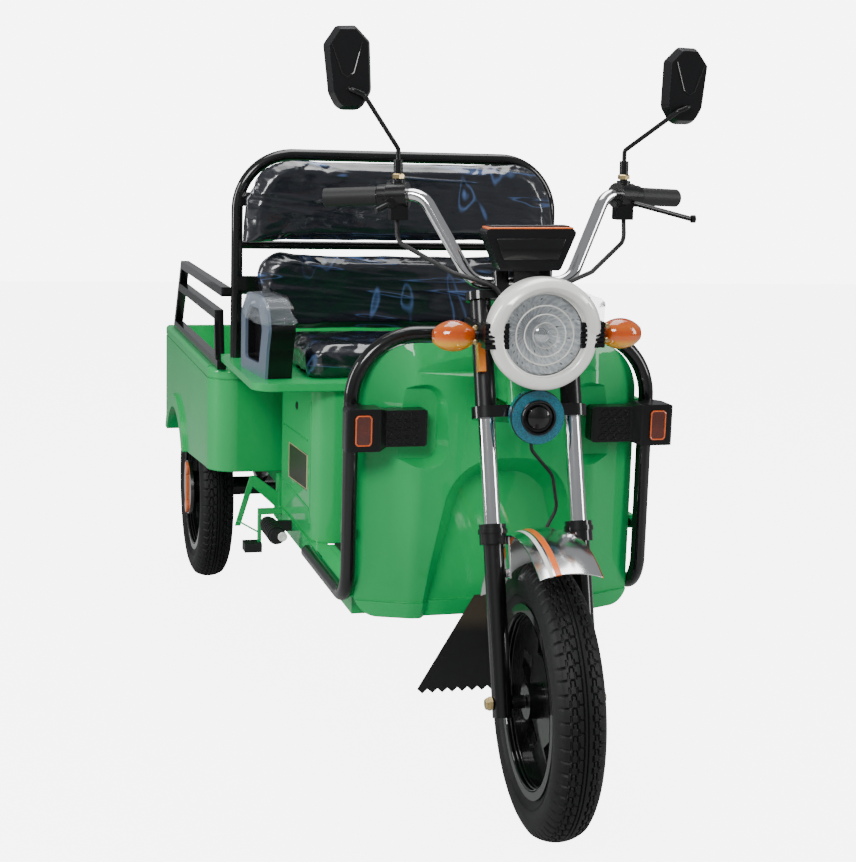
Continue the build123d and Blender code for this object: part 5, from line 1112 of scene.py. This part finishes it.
class Stage(bpy.types.Operator):
    """The floor, the lights and the camera"""
    bl_idname = "tricycle.stage"
    bl_label = "Stage"

    def execute(self, context):
        bpy.ops.object.select_all(action="DESELECT")
        bpy.ops.mesh.primitive_plane_add(size=2 * sizes().floor_half, location=(0, 0, 0))
        floor = context.object
        floor.name = "studio_floor"
        material, tree, shader, place = shader_start("studio floor")
        add_tone(tree, shader, place, (0.42, 0.42, 0.42), 0.01, 0.6)
        feed(tree, shader, {"Roughness": 0.7})
        glow = add_node(tree, "ShaderNodeEmission", values={"Color": (1, 1, 1, 1), "Strength": 6.0})
        lit = add_node(tree, "ShaderNodeAddShader",
                       links={0: shader.outputs["BSDF"], 1: glow.outputs["Emission"]})
        brighter_to_camera(tree, shader.outputs["BSDF"], lit.outputs["Shader"], tree.nodes["Material Output"])
        floor.data.materials.append(material)

        world = bpy.data.worlds.new("studio light")
        world.use_nodes = True
        tree = world.node_tree
        background = tree.nodes["Background"]
        feed(tree, background, {"Color": (0.95, 0.97, 1.0, 1), "Strength": 0.30})
        pale = add_node(tree, "ShaderNodeBackground", values={"Color": (1, 1, 1, 1), "Strength": 7.0})
        brighter_to_camera(tree, background.outputs["Background"], pale.outputs["Background"],
                           tree.nodes["World Output"])
        context.scene.world = world

        for name, place, aim, width, height, power in (
            ("key panel", (-2.6, -4.2, 3.4), (0, -0.4, 0.5), 1.8, 1.4, 190),
            ("side panel", (-4.4, 0.2, 1.9), (0, 0.2, 0.5), 0.9, 2.6, 120),
            ("fill panel", (3.6, -2.6, 2.0), (0, -0.3, 0.6), 1.0, 2.4, 85),
            ("top panel", (0.2, 0.2, 4.2), (0, 0.0, 0.5), 2.2, 3.4, 150),
        ):
            light = bpy.data.lights.new(name, "AREA")
            light.shape = "RECTANGLE"
            light.size = width
            light.size_y = height
            light.energy = power
            lamp = bpy.data.objects.new(name, light)
            lamp.location = place
            lamp.rotation_euler = (Vector(aim) - Vector(place)).to_track_quat("-Z", "Y").to_euler()
            context.collection.objects.link(lamp)

        yaw, pitch, roll = (math.radians(angle) for angle in camera_angles)
        ahead = Vector((math.sin(yaw) * math.cos(pitch), math.cos(yaw) * math.cos(pitch), math.sin(pitch)))
        right = Vector((math.cos(yaw), -math.sin(yaw), 0))
        upward = right.cross(ahead)
        tilted_right = right * math.cos(roll) + upward * math.sin(roll)
        tilted_up = upward * math.cos(roll) - right * math.sin(roll)
        turn = Matrix((tilted_right, tilted_up, -ahead)).transposed()
        camera = bpy.data.objects.new("photo camera", bpy.data.cameras.new("photo camera"))
        camera.matrix_world = Matrix.Translation(spot(*camera_place)) @ turn.to_4x4()
        camera.data.lens = sizes().lens
        camera.data.sensor_width = 36
        context.collection.objects.link(camera)
        context.scene.camera = camera
        return {"FINISHED"}


class TricyclePanel(bpy.types.Panel):
    """Lists the steps that dress the tricycle"""
    bl_idname = "VIEW3D_PT_tricycle"
    bl_label = "Tricycle"
    bl_space_type = "VIEW_3D"
    bl_region_type = "UI"
    bl_category = "Tricycle"

    def draw(self, context):
        for step in steps:
            self.layout.operator(step.bl_idname)


steps = (Stage, DressNodes, Cushions, ArmrestFilm, Tyres, RimSteps, Headlamp, Horn, CornerLampTrim,
         MirrorBeads, PodTrim, SeatBoxTrim, Fasteners)
settings_classes = (TricycleColours, TricycleSizes)


def register():
    for item in (*settings_classes, *steps, TricyclePanel):
        bpy.utils.register_class(item)
    bpy.types.Scene.tricycle_colours = PointerProperty(type=TricycleColours)
    bpy.types.Scene.tricycle_sizes = PointerProperty(type=TricycleSizes)


def unregister():
    del bpy.types.Scene.tricycle_sizes
    del bpy.types.Scene.tricycle_colours
    for item in reversed((*settings_classes, *steps, TricyclePanel)):
        bpy.utils.unregister_class(item)


def main():
    """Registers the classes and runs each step."""
    register()
    for step in steps:
        group_name, operator_name = step.bl_idname.split(".")
        getattr(getattr(bpy.ops, group_name), operator_name)()


if __name__ == "__main__":
    main()
